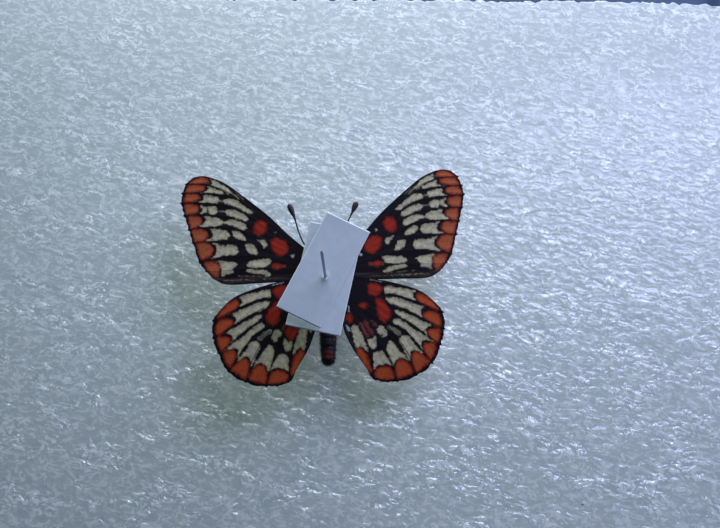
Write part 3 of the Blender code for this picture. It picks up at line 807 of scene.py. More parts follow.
def vein_strength(wing, lines, space, u):
    """How strongly the nearest vein shows at each place: not before its start, less if faint."""
    rows = lines.shape[1]
    shows = np.zeros((len(space), rows))
    for index in range(1, len(lines) - 1):
        first = np.argmin(np.linalg.norm(lines[index] - wing["lines"][index][1], axis=-1))
        near = (space == index) & (u <= 0.5) | (space == index - 1) & (u > 0.5)
        weight = FAINT_SHARE if index in wing["faint_lines"] else 1.0
        shows[near] = weight * (np.arange(rows) >= first)
    return shows


def wing_layout(wing, left, settings):
    """The places of a wing's grid, as on the right, and the fields that its markings follow."""
    count = len(wing["lines"])
    steps = settings.cell_points
    columns = (count - 1) * steps + 1
    reach = max(np.linalg.norm(np.array(line[-1]) - line[0]) for line in wing["lines"])
    rows = round(reach / settings.row_pitch)
    shares = np.linspace(0, 1, rows)
    lines = np.array([smooth_line(line, shares) for line in wing["lines"]])
    ends = with_ends(lines)
    column = np.arange(columns)
    space = np.minimum(column // steps, count - 2)
    u = ((column - space * steps) / steps)[:, None]
    place = smooth_between(*(ends[space + k] for k in range(4)), u[..., None])
    width = np.linalg.norm(lines[space + 1] - lines[space], axis=-1)
    side = np.minimum(u, 1 - u) * width
    middles = (lines[:-1] + lines[1:]) / 2
    lengths = np.linalg.norm(np.diff(middles, axis=1), axis=-1).sum(1)
    along = shares[None, :] * lengths[space][:, None]
    from_margin = (1 - shares)[None, :] * lengths[space][:, None]

    outwards = place[:, -1:] - place[:, -4:-3]
    outwards /= np.linalg.norm(outwards, axis=-1, keepdims=True)
    bulge = wing["scallop"] * 4 * u * (1 - u)
    inner_vein = (column[:, None] > steps / 2) & (column[:, None] < columns - steps / 2)
    tuft = wing["tuft"] * np.exp(-(side / TUFT_HALF_WIDTH) ** 2) * inner_vein
    fringe = np.random.default_rng(count + left).uniform(0, FRINGE, columns)[:, None]
    fringe = fringe * np.exp(-(from_margin / FRINGE_REACH) ** 2)
    out = (bulge + tuft) * np.exp(-(from_margin / SCALLOP_REACH) ** 2) + fringe
    place = place + outwards * out[..., None]

    shows = vein_strength(wing, lines, space, u[:, 0])
    vein = np.where(shows > 0, VEIN_HALF_WIDTH * shows - side, -FAR)

    rear = np.where(space == count - 2, 1 - u[:, 0], FAR)[:, None] * width
    front = np.where(space == 0, u[:, 0], FAR)[:, None] * width
    margin = np.minimum(np.minimum(from_margin, front), rear)
    reds = wing["red"] + (wing["left_red"] if left else [])
    cream, orange, red = (np.max([inside_depth(place, mark) for mark in marks], axis=0)
                          for marks in (wing["cream"], wing["orange"], reds))
    faint, dusky = (np.max([streak_depth(place, *streak) for streak in wing[kind]], axis=0)
                    for kind in ("streaks", "dusky"))
    orange = np.minimum(orange, margin - MARGIN_LINE)
    brown = wing["brown_edge"] - rear
    ridge = RIDGE_HEIGHT * np.exp(-(side / RIDGE_HALF_WIDTH) ** 2) * (shows > 0)
    pleat = (-PLEAT_DEPTH * (2 * np.minimum(u, 1 - u)) ** 1.5
             * np.clip(along / PLEAT_REACH, 0, 1) * np.minimum(width / PLEAT_WIDTH, 1))
    curl = 0.22 * np.sin(2.2 * shares[None, :] + 0.9) - 0.12 * shares[None, :] ** 4
    fields = {"cream": cream, "orange": orange, "red": red, "vein": vein, "faint": faint,
              "dusky": dusky, "brown": brown, "margin": margin}
    return place, ridge + pleat + curl, fields


def wing_shape(wing, side, settings):
    """A wing's membrane as a bent grid that carries its markings' fields."""
    place, height, fields = wing_layout(wing, side < 0, settings)
    columns, rows = height.shape
    shape = bmesh.new()
    bmesh.ops.create_grid(shape, x_segments=columns - 1, y_segments=rows - 1, size=0.5)
    layers = [(shape.verts.layers.float.new(name), values) for name, values in fields.items()]
    hinge_x, hinge_y = wing["hinge"]
    for point in shape.verts:
        column = round((point.co.x + 0.5) * (columns - 1))
        row = round((point.co.y + 0.5) * (rows - 1))
        x, y = place[column, row]
        point.co = (side * (x - hinge_x), y - hinge_y, height[column, row])
        for layer, values in layers:
            point[layer] = values[column, row]
    if side < 0:
        bmesh.ops.reverse_faces(shape, faces=shape.faces)
        bmesh.ops.rotate(shape, cent=(0, 0, 0), matrix=Matrix.Rotation(LEFT_SWEEP, 3, "Z"),
                         verts=shape.verts)
    bmesh.ops.translate(shape, vec=(side * hinge_x, hinge_y, wing["rise"]), verts=shape.verts)
    return shape


def wing_material(name, settings, band, underside):
    """Scales in the wing's colours; the upper side shows less cream and no red spots."""
    material, wires, shader = finish(name, Roughness=0.75, Specular_IOR_Level=0.09)
    place = place_in_mm(wires)
    patch = place.noise(1.5, 2, 0.6)
    grain = place.noise(3.6, 3, 0.6)
    dust = place.noise(9.0, 1, 0.5)
    wander = (patch - 0.5) * 0.7 + (grain - 0.5) * 0.8 + (dust - 0.5) * 0.32
    shrink = 0.0 if underside else 0.32
    depths = {kind: attribute(wires, kind)
              for kind in ("cream", "orange", "red", "vein", "faint", "dusky", "brown", "margin")}
    cream = (depths["cream"] + wander - shrink).step(-0.17, 0.05)
    orange = (depths["orange"] + wander * 0.8 - shrink * 0.6).step(-0.22, -0.02)
    red = (depths["red"] + wander * 1.2).step(-0.22, 0.22)
    vein = (depths["vein"] + wander * 0.25).step(-0.06, 0.06)
    faint = (depths["faint"] + wander * 0.9).step(-0.08, 0.10)
    dusky = (depths["dusky"] + wander * 1.2).step(-0.25, 0.2)
    brown = depths["brown"].step(-0.5, 0.3)
    edge = 1 - (depths["margin"] + wander * 0.4).step(0.14, 0.34)
    ground = tuple(settings.ground)
    streaky = place.drawn(0.03, (7.0, 0.8, 1.0)).noise(2.0, 2, 0.6)
    brown_tone = (streaky * 0.7 + dust * 0.3).step(0.42, 0.62).blend(
        (0.008, 0.006, 0.006), (0.044, 0.028, 0.027))
    colour = (brown * 0.9 + patch.step(0.5, 0.7) * dust.step(0.55, 0.75) * 0.15).blend(
        ground, brown_tone)
    colour = (dusky * (0.35 + 0.5 * dust)).blend(colour, (0.20, 0.045, 0.042))
    if underside:
        red_core = (depths["red"] * 1.3 + patch * 0.8 - 0.3).step(0.0, 1.0)
        red_tone = red_core.blend(toned(settings.red, 0.55), toned(settings.red, 1.25))
        colour = (red * 0.95).blend(
            colour, dust.step(0.2, 0.6).blend(toned(settings.red, 0.6), red_tone))
    orange_core = (depths["orange"] + patch * 0.9 + (grain - 0.5) * 0.5 - 0.35).step(0.0, 0.60)
    orange_tone = orange_core.blend(toned(settings.red, 0.62), toned(band, 1.08))
    orange_tone = (grain.step(0.44, 0.66) * 0.55).blend(orange_tone, toned(band, 0.5))
    colour = orange.blend(colour, orange_tone)
    cream_tone = patch.step(0.35, 0.65).blend(toned(settings.cream, 0.68, 0.74, 0.90),
                                              toned(settings.cream, 1.10))
    sooty = (1 - depths["cream"].step(0.0, 0.50)) * 0.75 + 0.15
    cream_tone = (sooty * (dust * 0.5 + grain * 0.5).step(0.44, 0.62)).blend(
        cream_tone, toned(settings.cream, 0.35))
    by_hinge = 1 - place.part(0).size().step(9.8, 10.8)
    colour = (faint * (0.38 + 0.5 * by_hinge)).blend(
        colour, by_hinge.blend(cream_tone, (0.33, 0.34, 0.38)))
    colour = cream.blend(colour, cream_tone)
    colour = (vein * (0.35 + 0.5 * grain)).blend(colour, ground)
    colour = edge.blend(colour, toned(ground, 0.7))
    scales = place.scaled((1.0, 1.0, 0.2)).cells(7.0)
    wires.feed(shader, Base_Color=colour,
               Normal=(scales * 0.6 + grain * 0.6).bump(0.35, 0.00005))
    return material


class DRAWER_OT_wings(bpy.types.Operator):
    """Models the four wings with their veins, pleats, scalloped margins and markings"""

    bl_idname = "drawer.wings"
    bl_label = "Wings"

    def execute(self, context):
        settings = context.scene.drawer_wings
        for kind, wing, band in (("forewing", FOREWING, settings.orange),
                                 ("hindwing", HINDWING, settings.rust)):
            materials = [wing_material(f"{kind}_scales_below", settings, band, True),
                         wing_material(f"{kind}_scales_above", settings, band, False)]
            for word, side in (("left", -1), ("right", 1)):
                shape = wing_shape(wing, side, settings)
                piece = add_piece(f"{word}_{kind}_scaled", shape, materials, "wing_scales",
                                  f"{word}_{kind}", carrier=SPECIMEN)
                membrane = piece.modifiers.new("membrane", "SOLIDIFY")
                membrane.thickness = settings.thickness
                membrane.offset = -1
                membrane.material_offset = 1
                membrane.material_offset_rim = 0
        return {"FINISHED"}


# --- body --------------------------------------------------------------------------------------

class BodySettings(bpy.types.PropertyGroup):
    hairs: IntProperty(
        name="Hairs", description="Number of hairs on the body", default=5200, min=0)
    hair_length: FloatProperty(
        name="Hair length", description="Length of the longest hairs, in millimetres",
        default=0.85, min=0.1)
    cuticle: FloatVectorProperty(
        name="Cuticle", description="Colour of the body under its hairs", subtype="COLOR",
        default=(0.006, 0.006, 0.017), min=0, max=1)
    rust: FloatVectorProperty(
        name="Rust", description="Colour of the red scales on the abdomen", subtype="COLOR",
        default=(0.15, 0.018, 0.016), min=0, max=1)


# Centres and half sizes on the body's own axes, in millimetres: the belly faces up.
THORAX = (Vector((0, 1.6, 1.0)), Vector((2.45, 4.5, 2.35)))
HEAD = (Vector((0, 6.9, 0.9)), Vector((1.55, 1.35, 1.4)))
EYE = (Vector((1.25, 7.2, 0.9)), Vector((0.75, 0.85, 0.95)))
PALP = (Vector((0.45, 8.3, 1.5)), Vector((0.35, 1.1, 0.45)))
BALL_WOBBLE = 0.05
# One noise for each axis. Blender's own noise_vector differs from run to run.
WOBBLE_SHIFTS = (Vector((9.3, 1.5, 7.9)), Vector((2.6, 8.4, 0.7)), Vector((5.1, 3.8, 6.2)))
ABDOMEN_START = Vector((0, -1.2, 0.3))
ABDOMEN_RADII = [0.9, 1.30, 1.45, 1.50, 1.52, 1.50, 1.46, 1.34, 1.18]
ABDOMEN_RING = 1.6
ABDOMEN_GROOVE = 0.10
GROOVE_WIDTH = 0.11
ABDOMEN_TIP = 0.65
RING_STEPS = 12
LEG_STEPS = 24
ANTENNA_STEPS = 110
LEG_RADIUS = 0.24
LEGS = [
    [(1.0, 4.4, 2.6), (2.3, 5.6, 2.7), (1.5, 6.9, 2.5)],
    [(1.2, 2.6, 2.7), (3.3, 3.9, 3.0), (3.0, 0.2, 3.1), (2.5, -2.6, 2.6)],
    [(1.2, 0.8, 2.7), (2.9, 1.0, 3.1), (1.9, -3.4, 2.7), (1.5, -6.3, 2.2)],
]
ANTENNA_RADIUS = 0.15
CLUB = [(0.0, 1.0), (0.70, 1.0), (0.78, 1.5), (0.84, 2.7), (0.90, 3.7), (0.96, 3.8), (1.0, 1.9)]
ANTENNAE = [
    [(-0.6, 7.3, 0.5), (-2.0, 6.9, 0.4), (-3.3, 7.0, 0.3), (-4.2, 7.5, 0.3), (-4.9, 8.6, 0.3),
     (-5.7, 10.7, 0.3), (-6.3, 12.9, 0.3), (-7.0, 14.7, 0.3), (-7.5, 15.9, 0.3)],
    [(0.6, 7.3, 0.5), (1.5, 8.3, 0.4), (2.6, 9.9, 0.3), (3.5, 11.4, 0.3), (4.1, 12.6, 0.3),
     (4.6, 13.7, 0.3), (5.3, 15.3, 0.3), (5.8, 16.4, 0.3)],
]
HAIR_RADIUS = 0.032
HAIR_LOT = 50
HAIR_SHARES = {"thorax": 0.42, "head": 0.08, "palp": 0.03, "abdomen": 0.44}
FUR_CEILING = 3.6
RUST_PLACE = Vector((0.55, -5.8))


def bent_tube(shape, points, radii, sides):
    """A closed tube along a line of points, with its own radius at each."""
    points = [Vector(point) for point in points]
    loops = []
    for index, (point, radius) in enumerate(zip(points, radii)):
        ahead = points[min(index + 1, len(points) - 1)] - points[max(index - 1, 0)]
        turn = ahead.to_track_quat("Z", "Y").to_matrix().to_4x4()
        ring = bmesh.ops.create_circle(shape, segments=sides, radius=radius,
                                       matrix=Matrix.Translation(point) @ turn)["verts"]
        loops.append(list(dict.fromkeys(edge for vert in ring for edge in vert.link_edges)))
    for one, other in zip(loops, loops[1:]):
        bmesh.ops.bridge_loops(shape, edges=one + other)
    bmesh.ops.holes_fill(shape, edges=loops[0] + loops[-1], sides=0)


def turned(shape, profile, steps, place):
    """A closed form spun about Z from its (radius, height) profile, then put in its place."""
    points = [shape.verts.new((radius, 0, height)) for radius, height in profile]
    edges = [shape.edges.new(pair) for pair in zip(points, points[1:])]
    start = len(shape.verts) - len(points)
    bmesh.ops.spin(shape, geom=points + edges, cent=(0, 0, 0), axis=(0, 0, 1),
                   angle=math.tau, steps=steps, use_merge=True)
    poles = [point for point in list(shape.verts)[start:] if point.co.xy.length < 1e-6]
    bmesh.ops.remove_doubles(shape, verts=poles, dist=1e-5)
    bmesh.ops.transform(shape, matrix=place, verts=list(shape.verts)[start:])


def ball_place(form, side):
    """The matrix that turns a unit ball into one of the body's, on the given side."""
    centre, half = form
    place = Matrix.Translation((side * centre.x, centre.y, centre.z))
    return place @ Matrix.Diagonal((*half, 1))


def add_ball(shape, form, side=1, detail=4):
    """A slightly uneven ball with the centre and half sizes of a form."""
    made = bmesh.ops.create_icosphere(shape, subdivisions=detail, radius=1,
                                      matrix=ball_place(form, side))["verts"]
    for point in made:
        where = point.co * 1.3
        point.co += BALL_WOBBLE * Vector(noise.noise(where + shift) for shift in WOBBLE_SHIFTS)


def add_hairs(shape, hairs):
    """Thin three-sided points from root to tip, made in small lots because that is quicker."""
    for start in range(0, len(hairs), HAIR_LOT):
        lot = bmesh.new()
        for root, tip in hairs[start:start + HAIR_LOT]:
            reach = tip - root
            turn = reach.to_track_quat("Z", "Y").to_matrix().to_4x4()
            bmesh.ops.create_cone(lot, cap_ends=True, segments=3, radius1=HAIR_RADIUS, radius2=0,
                                  depth=reach.length,
                                  matrix=Matrix.Translation((root + tip) / 2) @ turn)
        mesh = bpy.data.meshes.new("lot")
        lot.to_mesh(mesh)
        lot.free()
        shape.from_mesh(mesh)
        bpy.data.meshes.remove(mesh)


def ball_hairs(chance, form, count, length, lean, side=1):
    """Root and tip of each hair on a ball."""
    centre, half = form
    hairs = []
    for _ in range(count):
        way = Vector(chance.normal(size=3)).normalized()
        root = Vector(w * h * 0.97 for w, h in zip(way, half))
        out = Vector(w / h for w, h in zip(way, half)).normalized()
        stray = Vector(chance.normal(size=3)) * 0.25
        root += Vector((side * centre.x, centre.y, centre.z))
        tip = root + (out + lean + stray).normalized() * length * chance.uniform(0.45, 1.0)
        tip.z = min(tip.z, FUR_CEILING)
        hairs.append((root, tip))
    return hairs


def abdomen_radius(rings):
    """The abdomen's radius so many rings from its start, rounded off at the tip."""
    count = len(ABDOMEN_RADII)
    full = np.interp(rings, np.arange(count) + 0.5, ABDOMEN_RADII)
    past = max(0.0, (rings - count) / ABDOMEN_TIP + 1)
    return full * math.sqrt(max(0.0, 1 - past * past))


def abdomen_hairs(chance, count, length):
    """Root and tip of each hair on the abdomen, longest in the tuft at its end."""
    reach = len(ABDOMEN_RADII) * ABDOMEN_RING
    hairs = []
    for _ in range(count):
        back = reach * (1 - 0.97 * chance.uniform() ** 1.25)
        radius = abdomen_radius(back / ABDOMEN_RING)
        angle = chance.uniform(0, math.tau)
        out = Vector((math.cos(angle), 0, math.sin(angle)))
        root = ABDOMEN_START + out * radius * 0.94 + Vector((0, -min(back, reach - 0.1), 0))
        tail = 0.8 + 1.6 * max(0.0, back - reach + 1.4)
        way = (out + Vector((0, -tail, 0)) + Vector(chance.normal(size=3)) * 0.35).normalized()
        hairs.append((root, root + way * length * chance.uniform(0.35, 0.85)))
    return hairs


def body_shape(settings):
    """Thorax, head, ringed abdomen, legs and antennae, then their fur and the eyes."""
    shape = bmesh.new()
    add_ball(shape, THORAX, detail=5)
    add_ball(shape, HEAD)
    for side in (-1, 1):
        add_ball(shape, PALP, side)
    reach = len(ABDOMEN_RADII) * ABDOMEN_RING
    profile = [(0, 0)]
    for step in range(1, RING_STEPS * len(ABDOMEN_RADII)):
        along = step / RING_STEPS
        groove = 0
        if along < len(ABDOMEN_RADII) - 0.5:
            groove = ABDOMEN_GROOVE * math.exp(-((along - round(along)) / GROOVE_WIDTH) ** 2)
        profile.append((abdomen_radius(along) - groove, -along * ABDOMEN_RING))
    profile.append((0, -reach))
    turned(shape, profile, 40, Matrix.Translation(ABDOMEN_START)
           @ Matrix.Rotation(math.radians(-90), 4, "X"))
    shares = np.linspace(0, 1, LEG_STEPS)
    for side in (-1, 1):
        for leg in LEGS:
            route = smooth_line([(side * x, y, z) for x, y, z in leg], shares)
            bent_tube(shape, route, LEG_RADIUS * (1.1 - 0.55 * shares), 8)
    shares = np.linspace(0, 1, ANTENNA_STEPS)
    swell = np.interp(shares, *zip(*CLUB)) * (1 + 0.10 * np.sin(shares * 190))
    for route in ANTENNAE:
        bent_tube(shape, smooth_line(route, shares), ANTENNA_RADIUS * swell, 10)
    bare = len(shape.faces)
    chance = np.random.default_rng(11)
    count = {part: round(share * settings.hairs) for part, share in HAIR_SHARES.items()}
    length = settings.hair_length
    back = Vector((0, -0.9, 0))
    hairs = ball_hairs(chance, THORAX, count["thorax"], length, back)
    hairs += ball_hairs(chance, HEAD, count["head"], 0.7 * length, back * -0.6)
    for side in (-1, 1):
        hairs += ball_hairs(chance, PALP, count["palp"], 0.5 * length, back * -1.2, side)
    hairs += abdomen_hairs(chance, count["abdomen"], length)
    add_hairs(shape, hairs)
    furred = len(shape.faces)
    for side in (-1, 1):
        bmesh.ops.create_uvsphere(shape, u_segments=40, v_segments=24, radius=1,
                                  matrix=ball_place(EYE, side))
    for index, face in enumerate(shape.faces):
        face.material_index = 0 if index < bare else 1 if index < furred else 2
    return shape


def rust_patch(place):
    """Share of red scales: a patch before the abdomen's tip and a few stray flecks."""
    x, y = place.part(0) - RUST_PLACE.x, place.part(1) - RUST_PLACE.y
    grain = place.noise(1.6, 2, 0.6)
    patch = 1 - (x * x + y * y * 1.6 + (grain - 0.5) * 1.6).step(0.5, 1.5)
    flecks = grain.step(0.55, 0.70) * (-place.part(1)).step(0.5, 4.0) * 0.35
    return patch.most(flecks) * 0.9


def body_materials(settings):
    cuticle, wires, shader = finish("dark_cuticle", Specular_IOR_Level=0.35)
    place = place_in_mm(wires)
    grain = place.noise(2.4, 3, 0.6)
    club = place.part(1).step(20.5, 22.5)
    dark = grain.step(0.3, 0.7).blend(toned(settings.cuticle, 0.6), tuple(settings.cuticle))
    dark = rust_patch(place).blend(dark, tuple(settings.rust))
    wires.feed(shader, Base_Color=club.blend(dark, (0.034, 0.015, 0.026)),
               Roughness=0.50 + 0.25 * grain,
               Normal=(grain + place.cells(5.0)).bump(0.5, 0.00006))
    fur, wires, shader = finish("dark_fur", Roughness=0.6, Specular_IOR_Level=0.12)
    place = place_in_mm(wires)
    strand = place.noise(7.0, 1)
    dark = strand.step(0.4, 0.75).blend(toned(settings.cuticle, 0.4),
                                        toned(settings.cuticle, 1.3))
    wires.feed(shader, Base_Color=rust_patch(place).blend(dark, tuple(settings.rust)))
    eye, wires, shader = finish("faceted_eye", Coat_Weight=0.4, Coat_Roughness=0.15)
    place = place_in_mm(wires)
    facets = place.cells(14.0, randomness=0.25)
    tone = facets.step(0.1, 0.6).blend((0.030, 0.018, 0.014), (0.010, 0.006, 0.006))
    wires.feed(shader, Base_Color=tone, Roughness=0.25 + 0.2 * facets,
               Normal=(-facets).bump(0.6, 0.00003))
    return [cuticle, fur, eye]


class DRAWER_OT_body(bpy.types.Operator):
    """Models the furred body with its eyes, legs and clubbed antennae"""

    bl_idname = "drawer.body"
    bl_label = "Butterfly's body"

    def execute(self, context):
        settings = context.scene.drawer_body
        add_piece("body_furred", body_shape(settings), body_materials(settings), "hairy_body",
                  "butterfly_body", carrier=SPECIMEN)
        return {"FINISHED"}


# --- pin and labels ----------------------------------------------------------------------------

class PaperSettings(bpy.types.PropertyGroup):
    curl: FloatProperty(
        name="Curl", description="How far a label's corners lift, in millimetres",
        default=0.22, min=0)
    card: FloatVectorProperty(
        name="Card", description="Colour of the blank labels", subtype="COLOR",
        default=(0.49, 0.54, 0.62), min=0, max=1)
    steel: FloatVectorProperty(
        name="Steel", description="Colour of the pin", subtype="COLOR",
        default=(0.41, 0.47, 0.58), min=0, max=1)


PIN_PLACE = Vector((0, 8, 9.6))
PIN_HEAD = 0.75
PIN_PROFILE = ([(0, 0)]
               + [(PIN_HEAD * math.sin(math.radians(a)),
                   PIN_HEAD - PIN_HEAD * math.cos(math.radians(a))) for a in range(12, 165, 12)]
               + [(0.30, 1.56), (0.25, 1.7), (0.25, 12), (0.25, 24), (0.25, 35.8), (0.235, 36.6),
                  (0.20, 37.3), (0.13, 37.8), (0, 38.0)])
CARD_THICKNESS = 0.25
# Length, width, bearing of the length, the centre's offset from the pin, and the lower face's rise.
UPPER_LABEL = (20.4, 9.0, math.radians(64.0), Vector((-0.3, 1.4)), 31.37)
LOWER_LABEL = (20.4, 10.2, math.radians(78.5), Vector((-0.1, 0.0)), 30.28)
CARD_PITCH = 0.2
CARD_SAG = 0.12
CARD_WANDER = 0.03
PUNCTURE = 0.36
BURR_HEIGHT = 0.10
BURR_WIDTH = 0.5


def label_shape(label, settings, corners):
    """A card with a puncture for the pin, a burr about it and the given corners' lift."""
    length, width, bearing, offset, rise = label
    shape = bmesh.new()
    bmesh.ops.create_grid(shape, x_segments=round(length / CARD_PITCH),
                          y_segments=round(width / CARD_PITCH), size=0.5)
    bmesh.ops.scale(shape, vec=(length, width, 1), verts=shape.verts)
    for point in shape.verts:
        x, y = point.co.x / length + 0.5, point.co.y / width + 0.5
        lift = (corners[0] * (1 - x) * (1 - y) + corners[1] * x * (1 - y)
                + corners[2] * x * y + corners[3] * (1 - x) * y)
        bow = abs(2 * x - 1) ** 2.5
        point.co.z = settings.curl * (lift * bow - CARD_SAG * math.sin(math.pi * y))
        point.co.y += CARD_WANDER * noise.noise(Vector((point.co.x * 1.5, y, 0.2)))
    place = (Matrix.Translation((PIN_PLACE.x + offset.x, PIN_PLACE.y + offset.y, rise))
             @ Matrix.Rotation(bearing, 4, "Z"))
    bmesh.ops.transform(shape, matrix=place, verts=shape.verts)
    pin = Vector((PIN_PLACE.x, PIN_PLACE.y))
    inner = [point for point in shape.verts if (point.co.xy - pin).length < PUNCTURE - 0.06]
    bmesh.ops.delete(shape, geom=inner, context="VERTS")
    # Marks the cut edges and the puncture's rim, where the card's material paints a highlight.
    edge_highlight = shape.verts.layers.float.new("edge_highlight")
    for point in shape.verts:
        away = point.co.xy - pin
        point[edge_highlight] = float(point.is_boundary)
        if point.is_boundary and away.length < 3 * PUNCTURE:
            point.co.xy = pin + away.normalized() * PUNCTURE
        point.co.z += BURR_HEIGHT * math.exp(-((away.length - PUNCTURE) / BURR_WIDTH) ** 2)
    bmesh.ops.solidify(shape, geom=shape.faces[:], thickness=-CARD_THICKNESS)
    bmesh.ops.recalc_face_normals(shape, faces=shape.faces)
    return shape


def card_material(settings):
    material, wires, shader = finish("blank_card", Specular_IOR_Level=0.3)
    place = place_in_mm(wires)
    fibre = place.scaled((1.0, 1.6, 1.0)).noise(3.0, 4, 0.65)
    cloud = place.noise(0.55, 3, 0.6)
    card = tuple(settings.card)
    tone = (cloud.step(0.3, 0.7) * 0.5 + fibre * 0.5).blend(toned(card, 0.86, 0.91, 0.93),
                                                            toned(card, 1.06, 1.02, 1.0))
    # Painted highlight: the cut edges and the puncture's rim are near white, brighter than the
    # card's face.
    edge_highlight = attribute(wires, "edge_highlight") * (0.45 + 0.9 * fibre)
    wires.feed(shader, Base_Color=edge_highlight.blend(tone, (0.86, 0.88, 0.92)),
               Roughness=0.70 + 0.2 * fibre, Normal=fibre.bump(0.5, 0.00004))
    return material


class DRAWER_OT_pin(bpy.types.Operator):
    """Turns the steel pin with its head below the specimen"""

    bl_idname = "drawer.pin"
    bl_label = "Pin"

    def execute(self, context):
        settings = context.scene.drawer_paper
        material, wires, shader = finish("drawn_steel", Metallic=1.0)
        place = place_in_mm(wires)
        drawn = place.scaled((6.0, 6.0, 0.4)).noise(1.5, 3, 0.6)
        spots = place.noise(1.8, 2, 0.6).step(0.58, 0.70)
        steel = tuple(settings.steel)
        tone = (spots * 0.4).blend(drawn.blend(toned(steel, 0.8), steel), (0.13, 0.12, 0.12))
        wires.feed(shader, Base_Color=tone, Roughness=0.40 + 0.15 * drawn + 0.1 * spots,
                   Normal=drawn.bump(0.25, 0.00002))
        shape = bmesh.new()
        turned(shape, PIN_PROFILE, 24, Matrix.Translation(PIN_PLACE))
        bmesh.ops.recalc_face_normals(shape, faces=shape.faces)
        add_piece("pin_turned", shape, [material], "pin_steel", "insect_pin")
        return {"FINISHED"}


class DRAWER_OT_labels(bpy.types.Operator):
    """Cuts the two blank labels on the pin"""

    bl_idname = "drawer.labels"
    bl_label = "Labels"

    def execute(self, context):
        settings = context.scene.drawer_paper
        material = card_material(settings)
        for name, label, corners in (("upper_label", UPPER_LABEL, (0.6, 0.5, 1.0, 0.3)),
                                     ("lower_label", LOWER_LABEL, (0.7, 0.4, 0.5, 0.6))):
            add_piece(f"{name}_card", label_shape(label, settings, corners), [material],
                      "white_card", name)
        return {"FINISHED"}


# --- wood and brass ----------------------------------------------------------------------------

class WoodSettings(bpy.types.PropertyGroup):
    lacquer: FloatVectorProperty(
        name="Lacquer", description="Colour of the lacquer on the boards", subtype="COLOR",
        default=(0.022, 0.054, 0.175), min=0, max=1)
    wear: FloatProperty(
        name="Wear", description="How much of the lacquer is worn off the edges",
        default=0.6, min=0, max=1, subtype="FACTOR")
    brass: FloatVectorProperty(
        name="Brass", description="Colour of the knob", subtype="COLOR",
        default=(0.60, 0.42, 0.16), min=0, max=1)


BOARDS = {"front_board": "x", "back_board": "x", "left_side": "y", "right_side": "y"}
BARE_WOOD = (0.30, 0.19, 0.10)
KNOB_PLACE = Vector((0, -67, 27))
KNOB_COLLAR = 1.9
KNOB_NECK = 6.1
KNOB_PROFILE = ([(0, 16.0)]
                + [(7.5 * math.sin(math.radians(a)), 11.4 + 4.6 * math.cos(math.radians(a)))
                   for a in range(6, 145, 6)]
                + [(3.75, 7.0), (3.2, 6.1), (3.05, 4.7), (3.2, 3.3), (3.7, 2.5), (4.4, 2.0),
                   (4.9, 1.82), (5.15, 1.5), (5.2, 1.2), (5.2, 0.45), (5.05, 0.3), (2.7, 0.3),
                   (2.7, -4.7), (2.4, -5.0), (0, -5.0)])


def grain_place(wires, along, stretch):
    """The point's place, drawn out along the grain."""
    return place_in_mm(wires).scaled((1 / stretch, 1, 1) if along == "x" else (1, 1 / stretch, 1))


def edge_distance(place, name):
    """How far a point on a board's surface is from its nearest edge, in millimetres."""
    low, high = (Vector(corner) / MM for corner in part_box(name))
    middle, half = (low + high) / 2, (high - low) / 2
    a, b, c = (half[k] - (place.part(k) - middle[k]).size() for k in range(3))
    return a.least(b).most(a.most(b).least(c))


def lacquer_material(name, along, settings):
    material, wires, shader = finish(f"navy_lacquer_{name}", Coat_Weight=0.25,
                                     Coat_Roughness=0.25)
    place = place_in_mm(wires)
    figure = grain_place(wires, along, 14.0).noise(0.16, 4, 0.6, 0.6)
    pores = grain_place(wires, along, 9.0).noise(2.1, 2, 0.6).step(0.60, 0.74)
    rub = place.noise(0.22, 4, 0.65)
    edge = edge_distance(place, name)
    worn = (rub * 1.5 - edge * 0.9).step(0.62, 0.80) * settings.wear
    paint = tuple(settings.lacquer)
    tone = figure.step(0.3, 0.7).blend(toned(paint, 0.72), paint)
    tone = (pores * 0.6).blend(tone, toned(paint, 0.4))
    bare = figure.step(0.35, 0.65).blend(toned(BARE_WOOD, 0.6), BARE_WOOD)
    wires.feed(shader, Base_Color=worn.blend(tone, bare),
               Roughness=0.34 + 0.14 * rub + 0.25 * worn,
               Normal=(figure * 0.5 - pores - worn * 0.8).bump(0.6, 0.00008))
    return material


def plywood_material():
    material, wires, shader = finish("birch_plywood", Specular_IOR_Level=0.3)
    figure = grain_place(wires, "x", 11.0).noise(0.12, 4, 0.62, 1.2)
    lines = grain_place(wires, "x", 16.0).noise(1.5, 3, 0.6)
    stain = place_in_mm(wires).noise(0.02, 3).step(0.45, 0.75)
    tone = figure.step(0.3, 0.7).blend((0.40, 0.26, 0.13), (0.56, 0.40, 0.23))
    tone = (lines.step(0.45, 0.75) * 0.35).blend(tone, (0.30, 0.18, 0.09))
    wires.feed(shader, Base_Color=(stain * 0.25).blend(tone, (0.24, 0.15, 0.08)),
               Roughness=0.55 + 0.25 * lines, Normal=(lines + figure * 0.5).bump(0.5, 0.0001))
    return material


def brass_material(settings):
    material, wires, shader = finish("turned_brass", Metallic=1.0)
    place = place_in_mm(wires)
    depth = place.part(1) - KNOB_PLACE.y
    rings = place.scaled((0.0, 1.0, 0.0)).noise(9.0, 2, 0.7)
    smudge = place.noise(0.32, 4, 0.62).step(0.42, 0.70)
    groove = 1 - (depth + KNOB_COLLAR).size().least((depth + KNOB_NECK).size()).step(0.0, 0.7)
    brass = tuple(settings.brass)
    tone = smudge.blend(brass, toned(brass, 0.62, 0.52, 0.40))
    wires.feed(shader, Base_Color=(groove * 0.7).blend(tone, (0.12, 0.07, 0.03)),
               Roughness=0.20 + 0.16 * smudge + 0.10 * rings + 0.2 * groove,
               Normal=rings.bump(0.35, 0.00003))
    return material


class DRAWER_OT_wood(bpy.types.Operator):
    """Finishes the boards with worn navy lacquer and the bottom panel with bare plywood"""

    bl_idname = "drawer.wood"
    bl_label = "Boards and panel"

    def execute(self, context):
        settings = context.scene.drawer_wood
        for name, along in BOARDS.items():
            dress(name, lacquer_material(name, along, settings))
        dress("bottom_panel", plywood_material())
        return {"FINISHED"}


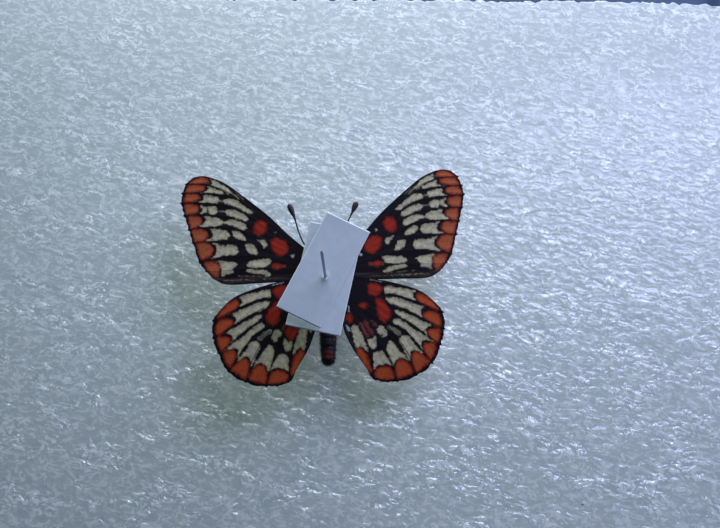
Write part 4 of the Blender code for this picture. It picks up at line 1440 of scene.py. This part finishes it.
class DRAWER_OT_knob(bpy.types.Operator):
    """Turns the brass knob on the front"""

    bl_idname = "drawer.knob"
    bl_label = "Knob"

    def execute(self, context):
        shape = bmesh.new()
        turned(shape, KNOB_PROFILE, 96, Matrix.Translation(KNOB_PLACE)
               @ Matrix.Rotation(math.radians(90), 4, "X"))
        bmesh.ops.recalc_face_normals(shape, faces=shape.faces)
        add_piece("knob_turned", shape, [brass_material(context.scene.drawer_wood)],
                  "turned_brass", "front_knob")
        return {"FINISHED"}


# --- run ---------------------------------------------------------------------------------------

GROUPS = (("drawer_stage", StageSettings), ("drawer_foam", FoamSettings),
          ("drawer_wings", WingSettings), ("drawer_body", BodySettings),
          ("drawer_paper", PaperSettings), ("drawer_wood", WoodSettings))
OPERATORS = (DRAWER_OT_stage, DRAWER_OT_foam, DRAWER_OT_wings, DRAWER_OT_body, DRAWER_OT_pin,
             DRAWER_OT_labels, DRAWER_OT_wood, DRAWER_OT_knob)


class DRAWER_PT_pieces(bpy.types.Panel):
    """Lists the pieces of the drawer and their settings"""

    bl_idname = "DRAWER_PT_pieces"
    bl_label = "Insect drawer"
    bl_space_type = "VIEW_3D"
    bl_region_type = "UI"
    bl_category = "Insect drawer"

    def draw(self, context):
        column = self.layout.column()
        for name, group in GROUPS:
            box = column.box()
            for setting in group.__annotations__:
                box.prop(getattr(context.scene, name), setting)
        for operator in OPERATORS:
            column.operator(operator.bl_idname)


def register():
    for name, group in GROUPS:
        bpy.utils.register_class(group)
        setattr(bpy.types.Scene, name, PointerProperty(type=group))
    for item in (*OPERATORS, DRAWER_PT_pieces):
        bpy.utils.register_class(item)


def unregister():
    for item in (DRAWER_PT_pieces, *reversed(OPERATORS)):
        bpy.utils.unregister_class(item)
    for name, group in reversed(GROUPS):
        delattr(bpy.types.Scene, name)
        bpy.utils.unregister_class(group)


def main():
    register()
    for operator in OPERATORS:
        area, name = operator.bl_idname.split(".")
        getattr(getattr(bpy.ops, area), name)()
    share_lights()


if __name__ == "__main__":
    main()
